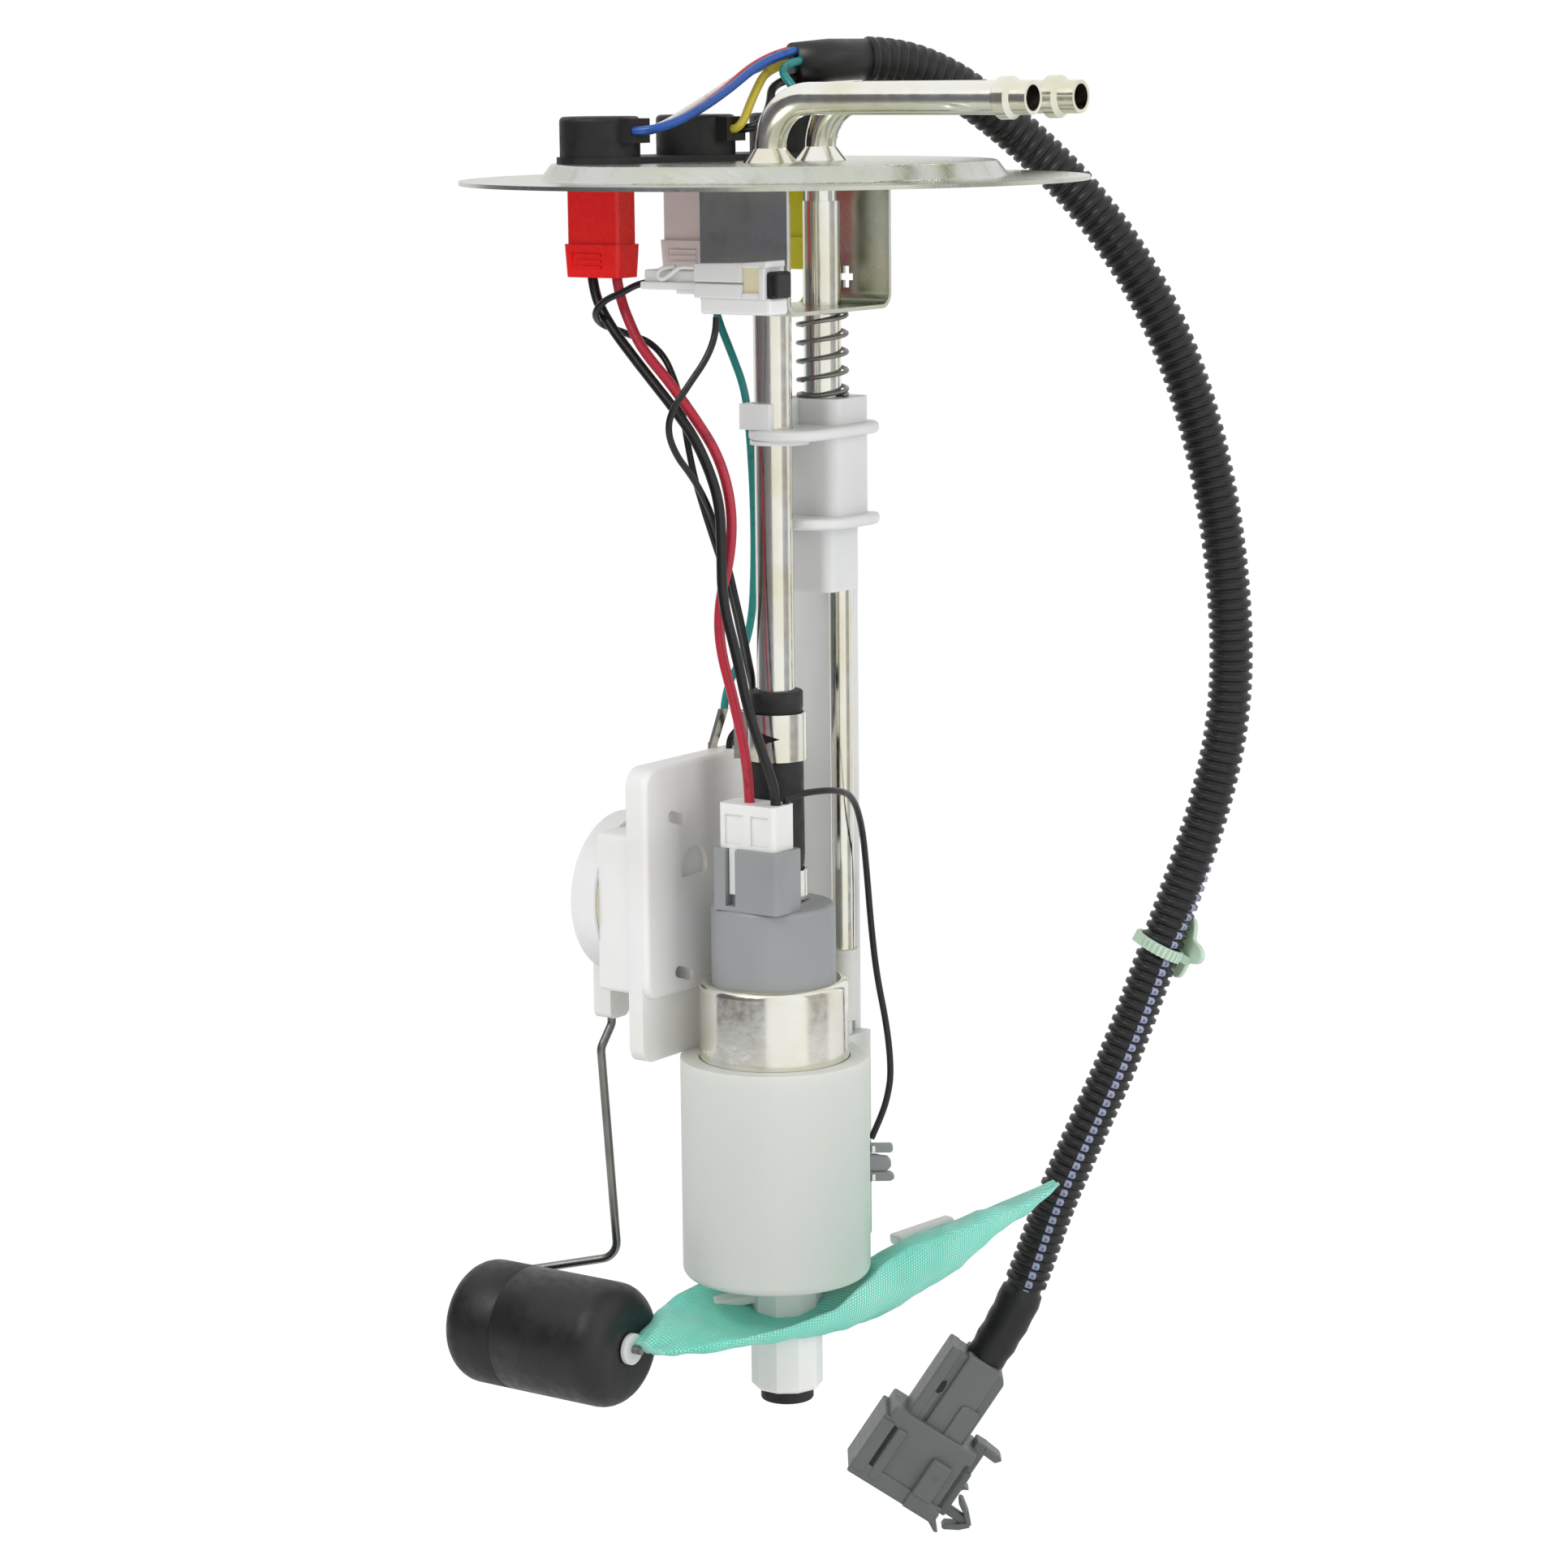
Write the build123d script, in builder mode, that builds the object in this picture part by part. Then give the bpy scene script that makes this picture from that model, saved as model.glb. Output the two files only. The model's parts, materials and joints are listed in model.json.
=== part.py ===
from build123d import *
from math import atan2, cos, degrees, hypot, radians, sin, tan
import os

os.makedirs("parts", exist_ok=True)

# An in-tank fuel pump module. The origin is the centre of the lid's seating face and +Z points up,
# out of the tank. X runs along the fuel pipes and the float arm's pivot. Sizes are in millimetres.

# ---- driving dimensions -------------------------------------------------------------------------
SHEET = 1.0                      # lid and bracket sheet
LID_R = 78.5
RAISED_R = 55.0                  # flat top of the raised middle
RAISE = 4.0
SHOULDER = 3.0                   # run of the slope round the raised middle
FIT = 0.3                        # gap kept between pieces that do not touch
RUNNING = 0.08                   # radial clearance of a sliding or turning fit

PIPE_R = 4.0
PIPE_WALL = 0.9
TUBE_R = 4.75
PIPE_X = 6.5
PIPE_Y = 11.0
PIPE_Z = 20.5                    # axis height of the horizontal runs
PIPE_END = 82.0
PIPE_BEND = 12.0
BEAD_R = 5.1
BEAD_LEN = 3.0
BEAD_INSET = 7.0
TUBE_TOP = -5.0
FEED_TUBE_END = -131.0
RETURN_TUBE_END = -84.0
SLIDER_FLOOR = -98.0              # bottom of the slider's bore

BRACKET_W = 26.0                 # along X
BRACKET_HALF = 23.0              # half its length along Y
BRACKET_BOTTOM = -32.0
BRACKET_BEND = 4.0

GROMMET_R = 10.0
GROMMET_TOP = 16.5
GROMMET_NECK = 7.0
GROMMET_PITCH = 29.4
GROMMET_MID = (-24.0, 0.0)
ROW_ANGLE = 72.0                 # the row of grommets from the X axis

SLIDER_TOP = -54.0
SLIDER_BLOCK_H = 6.4
FLANGE_T = 2.8                    # both oval flanges of the slider
SLIDER_STEP = -86.2
SLIDER_END = -103.0
SPRING_R = 6.2
SPRING_WIRE = 0.55
SPRING_TURNS = 6

PUMP_X = 8.0
PUMP_Y = -15.5
CAN_R = 19.0
CAN_TOP = -199.0
CAN_BOTTOM = -262.0
CAN_WALL = 1.2
CAP_R = 15.75
CAP_TOP = -179.5
CUP_WALL = 1.5
CUP_R = 24.0
CUP_TOP = -219.0
CUP_BOTTOM = -276.0
CUP_LIP = 3.0                     # depth of the rim that closes round the can
HOSE_R = 6.75
HOSE_TOP = -126.0
CLAMP_H = 12.0

PIVOT_Y = -23.0
PIVOT_Z = -182.0
PLATE_X = -18.0                  # outer face of the sender plate
PLATE_T = 6.0
ARM_WIRE = 1.1
FLOAT_X = -38.8
FLOAT_Y = -50.0
FLOAT_Z = -291.0
FLOAT_R = 16.0
FLOAT_LEN = 50.0

FOOT_X = 7.0
FOOT_Y = -10.0
FOOT_R = 9.2
PAD_R = 6.8
FOOT_BOTTOM = -311.0

LOOM_R = 5.8


def finish(piece, label):
    """Name a finished piece and write it."""
    piece.part.label = label
    export_step(piece.part, f"parts/{label}.step")


def facing_x(x):
    """A plane square to X: its own x is world Y and its y is world Z."""
    return Plane(origin=(x, 0, 0), x_dir=(0, 1, 0), z_dir=(1, 0, 0))


def facing_y(y):
    """A plane square to Y: its own x is world X and its y is world Z."""
    return Plane(origin=(0, y, 0), x_dir=(1, 0, 0), z_dir=(0, -1, 0))


def level(z):
    return Plane.XY.offset(z)


# ---- tank lid -----------------------------------------------------------------------------------
lid_top = RAISE + SHEET
bend_shift = SHEET * tan(atan2(RAISE, SHOULDER) / 2)
grommet_step = Vector(GROMMET_PITCH * cos(radians(ROW_ANGLE)), GROMMET_PITCH * sin(radians(ROW_ANGLE)))
grommets = [(GROMMET_MID[0] + n * grommet_step.X, GROMMET_MID[1] + n * grommet_step.Y) for n in (-1, 0, 1)]
pipes = [(PIPE_X, -PIPE_Y), (PIPE_X, PIPE_Y)]

with BuildPart() as tank_lid:
    with BuildSketch(Plane.XZ) as lid_profile:
        with BuildLine():
            Polyline(
                (0, RAISE), (RAISED_R, RAISE), (RAISED_R + SHOULDER, 0), (LID_R, 0), (LID_R, SHEET),
                (RAISED_R + SHOULDER + bend_shift, SHEET), (RAISED_R + bend_shift, lid_top), (0, lid_top),
                close=True,
            )
        make_face()
        bends = [v for v in lid_profile.vertices() if RAISED_R - 1 < v.X < RAISED_R + SHOULDER + SHEET]
        fillet(bends, SHEET * 1.2)
    revolve(axis=Axis.Z)
    with BuildSketch(level(RAISE)):
        with Locations(*pipes):
            Circle(PIPE_R + FIT / 2)
        with Locations(*grommets):
            Circle(GROMMET_NECK + FIT / 2)
    extrude(amount=SHEET, mode=Mode.SUBTRACT)
finish(tank_lid, "tank_lid")


# ---- fuel pipes over the lid --------------------------------------------------------------------
def bent_pipe(y):
    bore = PIPE_R - PIPE_WALL
    with BuildPart() as pipe:
        with BuildLine():
            FilletPolyline((PIPE_X, y, TUBE_TOP), (PIPE_X, y, PIPE_Z), (PIPE_END, y, PIPE_Z), radius=PIPE_BEND)
        with BuildSketch(Plane(origin=(PIPE_X, y, TUBE_TOP), z_dir=(0, 0, 1))):
            Circle(PIPE_R)
            Circle(bore, mode=Mode.SUBTRACT)
        sweep()
        with BuildSketch(facing_y(y)):
            with BuildLine():
                skirt = lid_top + PIPE_R
                inside = PIPE_X + PIPE_R - PIPE_WALL / 2
                Polyline((inside, lid_top), (PIPE_X + PIPE_R * 1.7, lid_top), (inside, skirt), close=True)
            make_face()
        revolve(axis=Axis((PIPE_X, y, 0), (0, 0, 1)))
        crest = PIPE_END - BEAD_INSET
        inner = PIPE_R - PIPE_WALL / 2
        slope = BEAD_R - inner
        with BuildSketch(facing_y(y)):
            with BuildLine():
                Polyline((crest - BEAD_LEN / 2 - slope, PIPE_Z + inner), (crest - BEAD_LEN / 2, PIPE_Z + BEAD_R),
                         (crest + BEAD_LEN / 2, PIPE_Z + BEAD_R),
                         (crest + BEAD_LEN / 2 + slope, PIPE_Z + inner), close=True)
            make_face()
        revolve(axis=Axis((0, y, PIPE_Z), (1, 0, 0)))
    return pipe


feed_pipe = bent_pipe(-PIPE_Y)
finish(feed_pipe, "feed_pipe")
return_pipe = bent_pipe(PIPE_Y)
finish(return_pipe, "return_pipe")


# ---- tubes under the lid ------------------------------------------------------------------------
def lower_tube(y, end, taper):
    with BuildPart() as tube:
        with BuildSketch(level(end)):
            with Locations((PIPE_X, y)):
                Circle(TUBE_R)
        extrude(amount=TUBE_TOP - end)
        chamfer(tube.faces().sort_by(Axis.Z)[0].edges(), length=taper, length2=taper / 3)
        with BuildSketch(level(end)):
            with Locations((PIPE_X, y)):
                Circle(PIPE_R - PIPE_WALL)
        extrude(amount=TUBE_TOP - end, mode=Mode.SUBTRACT)
    return tube


feed_tube = lower_tube(-PIPE_Y, FEED_TUBE_END, 1.0)
finish(feed_tube, "feed_tube")
guide_tube = lower_tube(PIPE_Y, RETURN_TUBE_END, 1.0)
finish(guide_tube, "guide_tube")


# ---- guide bracket ------------------------------------------------------------------------------
CROSS_ARM = 1.7
with BuildPart() as guide_bracket:
    with BuildSketch(facing_x(PIPE_X - BRACKET_W / 2)) as u_shape:
        height = RAISE - BRACKET_BOTTOM
        with Locations((0, BRACKET_BOTTOM)):
            Rectangle(2 * BRACKET_HALF, height, align=(Align.CENTER, Align.MIN))
        fillet(u_shape.vertices().group_by(Axis.Y)[0], BRACKET_BEND)
        with BuildSketch(mode=Mode.SUBTRACT) as hollow:
            with Locations((0, BRACKET_BOTTOM + SHEET)):
                Rectangle(2 * (BRACKET_HALF - SHEET), height, align=(Align.CENTER, Align.MIN))
            fillet(hollow.vertices().group_by(Axis.Y)[0], BRACKET_BEND - SHEET)
    extrude(amount=BRACKET_W)
    with BuildSketch(level(BRACKET_BOTTOM)):
        with Locations(*pipes):
            Circle(TUBE_R + FIT / 2)
    extrude(amount=SHEET, mode=Mode.SUBTRACT)
    with BuildSketch(facing_y(BRACKET_HALF)):
        with Locations((PIPE_X, BRACKET_BOTTOM + 7.5)):
            Rectangle(CROSS_ARM * 2.4, CROSS_ARM)
            Rectangle(CROSS_ARM, CROSS_ARM * 3.2)
    extrude(amount=SHEET, mode=Mode.SUBTRACT)
    with BuildSketch(facing_y(-BRACKET_HALF + SHEET)):
        with Locations((PIPE_X - BRACKET_W / 4, 0), (PIPE_X + BRACKET_W / 4, 0)):
            SlotOverall(4.0, 1.4)
    extrude(amount=SHEET, mode=Mode.SUBTRACT)
finish(guide_bracket, "guide_bracket")

# ---- grommets -----------------------------------------------------------------------------------
WEB_T = 1.6
NECK_Z = 13.0
with BuildPart() as grommet_seal:
    with BuildSketch(level(lid_top)):
        with Locations(Location((*GROMMET_MID, 0), (0, 0, ROW_ANGLE))):
            SlotOverall(2 * GROMMET_PITCH + 2 * GROMMET_R + 1.6, 2 * GROMMET_R + 1.6)
    extrude(amount=WEB_T)
    with BuildSketch(level(lid_top)):
        with Locations(*grommets):
            Circle(GROMMET_R)
    extrude(amount=GROMMET_TOP - lid_top)
    fillet(grommet_seal.edges().group_by(Axis.Z)[-1], 1.2)
    with BuildSketch(level(RAISE - 2 * SHEET)):
        with Locations(*grommets):
            Circle(GROMMET_NECK)
    extrude(amount=lid_top - RAISE + 2 * SHEET)
    for x, y in grommets:
        with BuildSketch(facing_x(x + GROMMET_R * 0.6)):
            with Locations((y, NECK_Z)):
                Rectangle(8.0, 6.0)
        extrude(amount=GROMMET_R * 0.65)
finish(grommet_seal, "grommet_seal")


# ---- terminal housings under the lid ------------------------------------------------------------
HOUSING = (16.0, 8.0)
HOUSING_TOP = RAISE - 2 * SHEET
HOUSING_END = -23.0
SKIRT_TOP = -14.8
LATCH = (9.6, 4.4)                # the recess in the front of the skirt


def terminal_housing(x, y):
    """A housing hung from a grommet, open at its lower end, where the wires leave."""
    with BuildPart() as housing:
        with BuildSketch(level(HOUSING_END)):
            with Locations((x, y)):
                RectangleRounded(*HOUSING, 1.2)
        extrude(amount=HOUSING_TOP - HOUSING_END)
        with BuildSketch(level(HOUSING_END)):
            with Locations((x, y)):
                RectangleRounded(HOUSING[0] + 0.6, HOUSING[1] + 0.6, 1.4)
        extrude(amount=SKIRT_TOP - HOUSING_END, taper=-4)
        with BuildSketch(level(HOUSING_END)):
            with Locations((x - HOUSING[0] / 4, y), (x + HOUSING[0] / 4, y)):
                Rectangle(HOUSING[0] / 2 - 2.0, HOUSING[1] - 2.4)
        extrude(amount=6.0, mode=Mode.SUBTRACT)
        with BuildSketch(facing_y(y - HOUSING[1] / 2 - 0.4)):
            with Locations((x - 1.0, (HOUSING_END + SKIRT_TOP) / 2)):
                Rectangle(*LATCH)
        extrude(amount=2.0, mode=Mode.SUBTRACT)
        with BuildSketch(facing_y(y - HOUSING[1] / 2 + 0.2)):
            with Locations((x - 1.0, (HOUSING_END + SKIRT_TOP) / 2)):
                with GridLocations(1, LATCH[1] / 3, 1, 3):
                    Rectangle(LATCH[0] - 1.6, 0.7)
        extrude(amount=1.1)
    return housing


for (hx, hy), colour in zip(grommets, ("red", "white", "yellow")):
    housing = terminal_housing(hx, hy)
    finish(housing, f"connector_{colour}")

# ---- inline connector in front of the bracket ---------------------------------------------------
INLINE_Y = -34.0
INLINE_Z = -26.0
INLINE_H = 11.0
INLINE_D = 8.0
INLINE_X = (-14.5, 1.0, 18.0)

with BuildPart() as inline_plug:
    with BuildSketch(facing_x(INLINE_X[0])):
        with Locations((INLINE_Y, INLINE_Z)):
            RectangleRounded(INLINE_D - 1.5, INLINE_H - 1.5, 1.0)
    extrude(amount=INLINE_X[1] - INLINE_X[0])
    with BuildSketch(level(INLINE_Z + INLINE_H / 2 - 0.75)):
        with Locations(((INLINE_X[0] + INLINE_X[1]) / 2, INLINE_Y)):
            Rectangle(9.0, 3.0)
    extrude(amount=1.2)
finish(inline_plug, "inline_plug")

with BuildPart() as inline_socket:
    with BuildSketch(facing_x(INLINE_X[1])):
        with Locations((INLINE_Y, INLINE_Z)):
            RectangleRounded(INLINE_D, INLINE_H, 1.2)
    extrude(amount=INLINE_X[2] - INLINE_X[1])
    with BuildSketch(facing_x(INLINE_X[2])):
        with Locations((INLINE_Y, INLINE_Z)):
            RectangleRounded(INLINE_D - 2.0, INLINE_H - 2.0, 0.8)
    extrude(amount=-5.0, mode=Mode.SUBTRACT)
    with BuildSketch(facing_y(INLINE_Y + INLINE_D / 2)):
        with Locations(((INLINE_X[1] + INLINE_X[2]) / 2, INLINE_Z)):
            Rectangle(5.0, 4.0)
    extrude(amount=-(-BRACKET_HALF - INLINE_Y - INLINE_D / 2))
finish(inline_socket, "inline_socket")

# ---- spring -------------------------------------------------------------------------------------
with BuildPart() as spring:
    spring_len = BRACKET_BOTTOM - SLIDER_TOP - 2 * SPRING_WIRE
    with BuildLine():
        Helix(pitch=spring_len / SPRING_TURNS, height=spring_len, radius=SPRING_R,
              center=(PIPE_X, PIPE_Y, SLIDER_TOP + SPRING_WIRE))
    with BuildSketch(Plane(origin=(PIPE_X + SPRING_R, PIPE_Y, SLIDER_TOP + SPRING_WIRE),
                           z_dir=(0, 1, spring_len / SPRING_TURNS / (6.283 * SPRING_R)))):
        Circle(SPRING_WIRE)
    sweep()
finish(spring, "spring")

# ---- slider -------------------------------------------------------------------------------------
COLUMN_X = (-1.5, 15.5)
COLUMN_Y = (3.0, 20.0)
NARROW_X = (-0.5, 12.6)
NARROW_Y = (4.5, 19.4)
FLANGE_AT = (9.4, 2.85)
FLANGE_SIZE = (42.3, 20.4)
FLANGE_ROUND = 1.1
HALF_FLANGE_Y = (-6.0, 20.3)
HALF_FLANGE_LEN = 30.0
LIP_X = (0.6, 9.5)
LIP_Y = -17.2
ROD_R = 3.0
ROD_BORE = 2.0
ROD_AT = (8.0, 16.0)
RAIL_TOP = SLIDER_TOP - SLIDER_BLOCK_H - FLANGE_T
SOCKET = 2.0
feed_hole = TUBE_R + FIT


def span(pair):
    """The length and the middle of a pair of ends."""
    return pair[1] - pair[0], (pair[0] + pair[1]) / 2


with BuildPart() as slider_collar:
    with BuildSketch(level(RAIL_TOP)):
        with Locations(FLANGE_AT):
            SlotOverall(*FLANGE_SIZE, rotation=90)
    extrude(amount=FLANGE_T)
    fillet(slider_collar.faces().filter_by(Axis.Z).edges(), FLANGE_ROUND)
    with BuildSketch(level(SLIDER_STEP)):
        with Locations((FLANGE_AT[0], HALF_FLANGE_Y[0] + HALF_FLANGE_LEN / 2)):
            SlotOverall(HALF_FLANGE_LEN, FLANGE_SIZE[1], rotation=90)
        with Locations((FLANGE_AT[0], HALF_FLANGE_Y[1])):
            Rectangle(FLANGE_SIZE[1], 8.0, align=(Align.CENTER, Align.MIN), mode=Mode.SUBTRACT)
    extrude(amount=FLANGE_T)
    fillet(slider_collar.faces().filter_by(Axis.Z).sort_by(Axis.Z)[:2].edges(), FLANGE_ROUND)
    (column_w, column_x), (column_d, column_y) = span(COLUMN_X), span(COLUMN_Y)
    with BuildSketch(level(SLIDER_STEP)):
        with Locations((column_x, column_y)):
            RectangleRounded(column_w, column_d, 3.5)
    extrude(amount=SLIDER_TOP - SLIDER_STEP)
    (narrow_w, narrow_x), (narrow_d, narrow_y) = span(NARROW_X), span(NARROW_Y)
    with BuildSketch(level(SLIDER_END)):
        with Locations((narrow_x, narrow_y)):
            RectangleRounded(narrow_w, narrow_d, 3.0)
    extrude(amount=SLIDER_STEP - SLIDER_END)
    with BuildSketch(level(SLIDER_TOP - SLIDER_BLOCK_H)):
        with Locations((LIP_X[0], LIP_Y)):
            Rectangle(LIP_X[1] - LIP_X[0], 6.0, align=(Align.MIN, Align.MIN))
            Rectangle(4.0, COLUMN_Y[0] - LIP_Y + 2.0, align=(Align.MIN, Align.MIN))
    extrude(amount=SLIDER_BLOCK_H)
    with BuildSketch(level(RAIL_TOP - SHEET)):
        with Locations((PIPE_X + 1.3, -PIPE_Y + 0.8)):
            Circle(feed_hole + 2.35)
    extrude(amount=SHEET)
    with BuildSketch(level(RAIL_TOP - SHEET)):
        with Locations((PIPE_X, -PIPE_Y)):
            Circle(feed_hole)
    extrude(amount=SLIDER_TOP - RAIL_TOP + SHEET, mode=Mode.SUBTRACT)
    with BuildSketch(level(SLIDER_FLOOR)):
        with Locations((PIPE_X, PIPE_Y)):
            Circle(TUBE_R + RUNNING)
    extrude(amount=SLIDER_TOP - SLIDER_FLOOR, mode=Mode.SUBTRACT)
    with BuildSketch(level(SLIDER_END)):
        with Locations(ROD_AT):
            Circle(ROD_R)
    extrude(amount=SOCKET, mode=Mode.SUBTRACT)
finish(slider_collar, "slider_collar")

# ---- nylon rail and the thin tube beside it -----------------------------------------------------
RAIL_X = (-10.0, 8.5)
RAIL_Y = 20.6
RAIL_T = 1.6
RAIL_RIB = 3.0
BACK_X = (-11.0, 11.5)
BACK_Y = 23.2
BACK_TOP = -219.5

with BuildPart() as slide_rail:
    with BuildSketch(level(BACK_TOP)):
        width = RAIL_X[1] - RAIL_X[0]
        middle = (RAIL_X[0] + RAIL_X[1]) / 2
        with Locations((middle, RAIL_Y)):
            Rectangle(width, RAIL_T, align=(Align.CENTER, Align.MIN))
        for x in (RAIL_X[0] + RAIL_T / 2, middle, RAIL_X[1] - RAIL_T / 2):
            with Locations((x, RAIL_Y)):
                Rectangle(RAIL_T * 0.8, RAIL_T + RAIL_RIB * 0.4, align=(Align.CENTER, Align.MIN))
    extrude(amount=RAIL_TOP - BACK_TOP)
finish(slide_rail, "slide_rail")

BOSS_R = 3.9
BOSS_TOP = -197.0
BOSS_END = -215.5
PEG_R = 2.2
with BuildPart() as return_rod:
    with BuildSketch(level(BOSS_TOP - SOCKET)):
        with Locations(ROD_AT):
            Circle(ROD_R)
            Circle(ROD_BORE, mode=Mode.SUBTRACT)
    extrude(amount=SLIDER_END + SOCKET - BOSS_TOP + SOCKET)
finish(return_rod, "return_rod")

# ---- pump cup -----------------------------------------------------------------------------------
with BuildPart() as pump_cup:
    with BuildSketch(level(CUP_BOTTOM)) as cup_outline:
        with Locations((PUMP_X, PUMP_Y)):
            Circle(CUP_R)
        with Locations(((BACK_X[0] + BACK_X[1]) / 2, BACK_Y)):
            Rectangle(BACK_X[1] - BACK_X[0], BACK_Y, align=(Align.CENTER, Align.MAX))
    extrude(amount=BACK_TOP - CUP_BOTTOM)
    fillet(pump_cup.edges().group_by(Axis.Z)[0], 2.5)
    with BuildSketch(level(BACK_TOP)):
        with Locations((PUMP_X, PUMP_Y)):
            Circle(CUP_R)
    extrude(amount=CUP_TOP - BACK_TOP)
    with BuildSketch(level(CAN_BOTTOM - 8)):
        with Locations((PUMP_X, PUMP_Y)):
            Circle(CUP_R - CUP_WALL)
    extrude(amount=CUP_TOP - CAN_BOTTOM + 8, mode=Mode.SUBTRACT)
    for n in range(6):
        with BuildSketch(level(CAN_BOTTOM - 8)):
            with Locations(Location((PUMP_X, PUMP_Y, 0), (0, 0, 30 + 60 * n))):
                with Locations((CAN_R + FIT, 0)):
                    Rectangle(CUP_R - CUP_WALL - CAN_R, 1.6, align=(Align.MIN, Align.CENTER))
        extrude(amount=CUP_TOP - CAN_BOTTOM + 4)
    with BuildSketch(level(CUP_TOP - CUP_LIP)):
        with Locations((PUMP_X, PUMP_Y)):
            Circle(CUP_R - CUP_WALL / 2)
            Circle(CAN_R + FIT, mode=Mode.SUBTRACT)
    extrude(amount=CUP_LIP)
    with BuildSketch(level(BACK_TOP)):
        with Locations(ROD_AT):
            Circle(PEG_R)
    extrude(amount=BOSS_END - BACK_TOP)
    with BuildSketch(level(BOSS_END)):
        with Locations(ROD_AT):
            Circle(BOSS_R)
    extrude(amount=BOSS_TOP - BOSS_END)
    with BuildSketch(level(BOSS_TOP - SOCKET)):
        with Locations(ROD_AT):
            Circle(ROD_R)
    extrude(amount=SOCKET, mode=Mode.SUBTRACT)
finish(pump_cup, "pump_cup")

# ---- pump ---------------------------------------------------------------------------------------
OUTLET = (PIPE_X, -PIPE_Y)
OUTLET_R = 3.6
HOSE_BORE = TUBE_R
CAN_LIP = 2.0
with BuildPart() as pump_can:
    with BuildSketch(level(CAN_BOTTOM)):
        with Locations((PUMP_X, PUMP_Y)):
            Circle(CAN_R)
    extrude(amount=CAN_TOP - CAN_BOTTOM)
    fillet(pump_can.edges().group_by(Axis.Z)[-1], CAN_LIP)
    with BuildSketch(level(CAN_BOTTOM)):
        with Locations((PUMP_X, PUMP_Y)):
            Circle(CAN_R - CAN_WALL)
    extrude(amount=CAN_TOP - CAN_BOTTOM - CAN_WALL, mode=Mode.SUBTRACT)
    with BuildSketch(level(CAN_BOTTOM)):
        with Locations((PUMP_X, PUMP_Y)):
            Circle(CAP_R)
    extrude(amount=CAN_TOP - CAN_BOTTOM, mode=Mode.SUBTRACT)
finish(pump_can, "pump_can")

SHAFT_R = 1.6
SHAFT_TOP = CAN_TOP - 1.0
SEAT = 4.0
with BuildPart() as pump_cap:
    with BuildSketch(level(CAN_TOP - CAN_WALL - SEAT)):
        with Locations((PUMP_X, PUMP_Y)):
            Circle(CAN_R - CAN_WALL)
    extrude(amount=SEAT)
    with BuildSketch(level(CAN_TOP - CAN_WALL)):
        with Locations((PUMP_X, PUMP_Y)):
            Circle(CAP_R)
    extrude(amount=CAP_TOP - CAN_TOP + CAN_WALL)
    fillet(pump_cap.edges().group_by(Axis.Z)[-1], 1.2)
    with BuildSketch(level(CAP_TOP)):
        with Locations(OUTLET):
            Circle(OUTLET_R)
    extrude(amount=12.0)
    fillet(pump_cap.edges().group_by(Axis.Z)[-1], 0.8)
    with BuildSketch(level(CAP_TOP)):
        with Locations(OUTLET):
            Circle(OUTLET_R / 2)
    extrude(amount=12.0, mode=Mode.SUBTRACT)
    with BuildSketch(level(CAN_TOP - CAN_WALL - SEAT)):
        with Locations((PUMP_X, PUMP_Y)):
            Circle(SHAFT_R + RUNNING)
    extrude(amount=SHAFT_TOP - CAN_TOP + CAN_WALL + SEAT + FIT, mode=Mode.SUBTRACT)
finish(pump_cap, "pump_cap")

BASE_SEAT = 12.0
INLET_R = 4.0
INLET_AT = (PUMP_X, PUMP_Y - 9.0)
with BuildPart() as pump_base:
    with BuildSketch(level(CAN_BOTTOM)):
        with Locations((PUMP_X, PUMP_Y)):
            Circle(CAN_R - CAN_WALL)
    extrude(amount=BASE_SEAT)
    with BuildSketch(level(CAN_BOTTOM - 8)):
        with Locations((PUMP_X, PUMP_Y)):
            Circle(CAN_R - 2)
    extrude(amount=8)
    with BuildSketch(level(CAN_BOTTOM + BASE_SEAT / 2)):
        with Locations((PUMP_X, PUMP_Y)):
            Circle(SHAFT_R + RUNNING)
    extrude(amount=BASE_SEAT / 2, mode=Mode.SUBTRACT)
finish(pump_base, "pump_base")

MAGNET_T = 4.0
ARMATURE_R = 12.5
magnet_z = (CAN_BOTTOM + BASE_SEAT + 2, CAN_TOP - CAN_WALL - SEAT - 4)
with BuildPart() as pump_magnets:
    with BuildSketch(level(magnet_z[0])):
        with Locations((PUMP_X, PUMP_Y)):
            Circle(CAN_R - CAN_WALL)
            Circle(CAN_R - CAN_WALL - MAGNET_T, mode=Mode.SUBTRACT)
            Rectangle(2 * CAN_R, 8, mode=Mode.SUBTRACT)
    extrude(amount=magnet_z[1] - magnet_z[0])
finish(pump_magnets, "pump_magnets")

with BuildPart() as armature:
    with BuildSketch(level(magnet_z[0] + 1)):
        with Locations((PUMP_X, PUMP_Y)):
            Circle(ARMATURE_R)
            with PolarLocations(ARMATURE_R, 8):
                Rectangle(5, 1.4, mode=Mode.SUBTRACT)
    extrude(amount=magnet_z[1] - magnet_z[0] - 2)
    with BuildSketch(level(magnet_z[1] - 1)):
        with Locations((PUMP_X, PUMP_Y)):
            Circle(8)
    extrude(amount=4)
    with BuildSketch(level(CAN_BOTTOM + BASE_SEAT / 2 + FIT)):
        with Locations((PUMP_X, PUMP_Y)):
            Circle(SHAFT_R)
    extrude(amount=SHAFT_TOP - CAN_BOTTOM - BASE_SEAT / 2 - FIT)
finish(armature, "armature")

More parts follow.
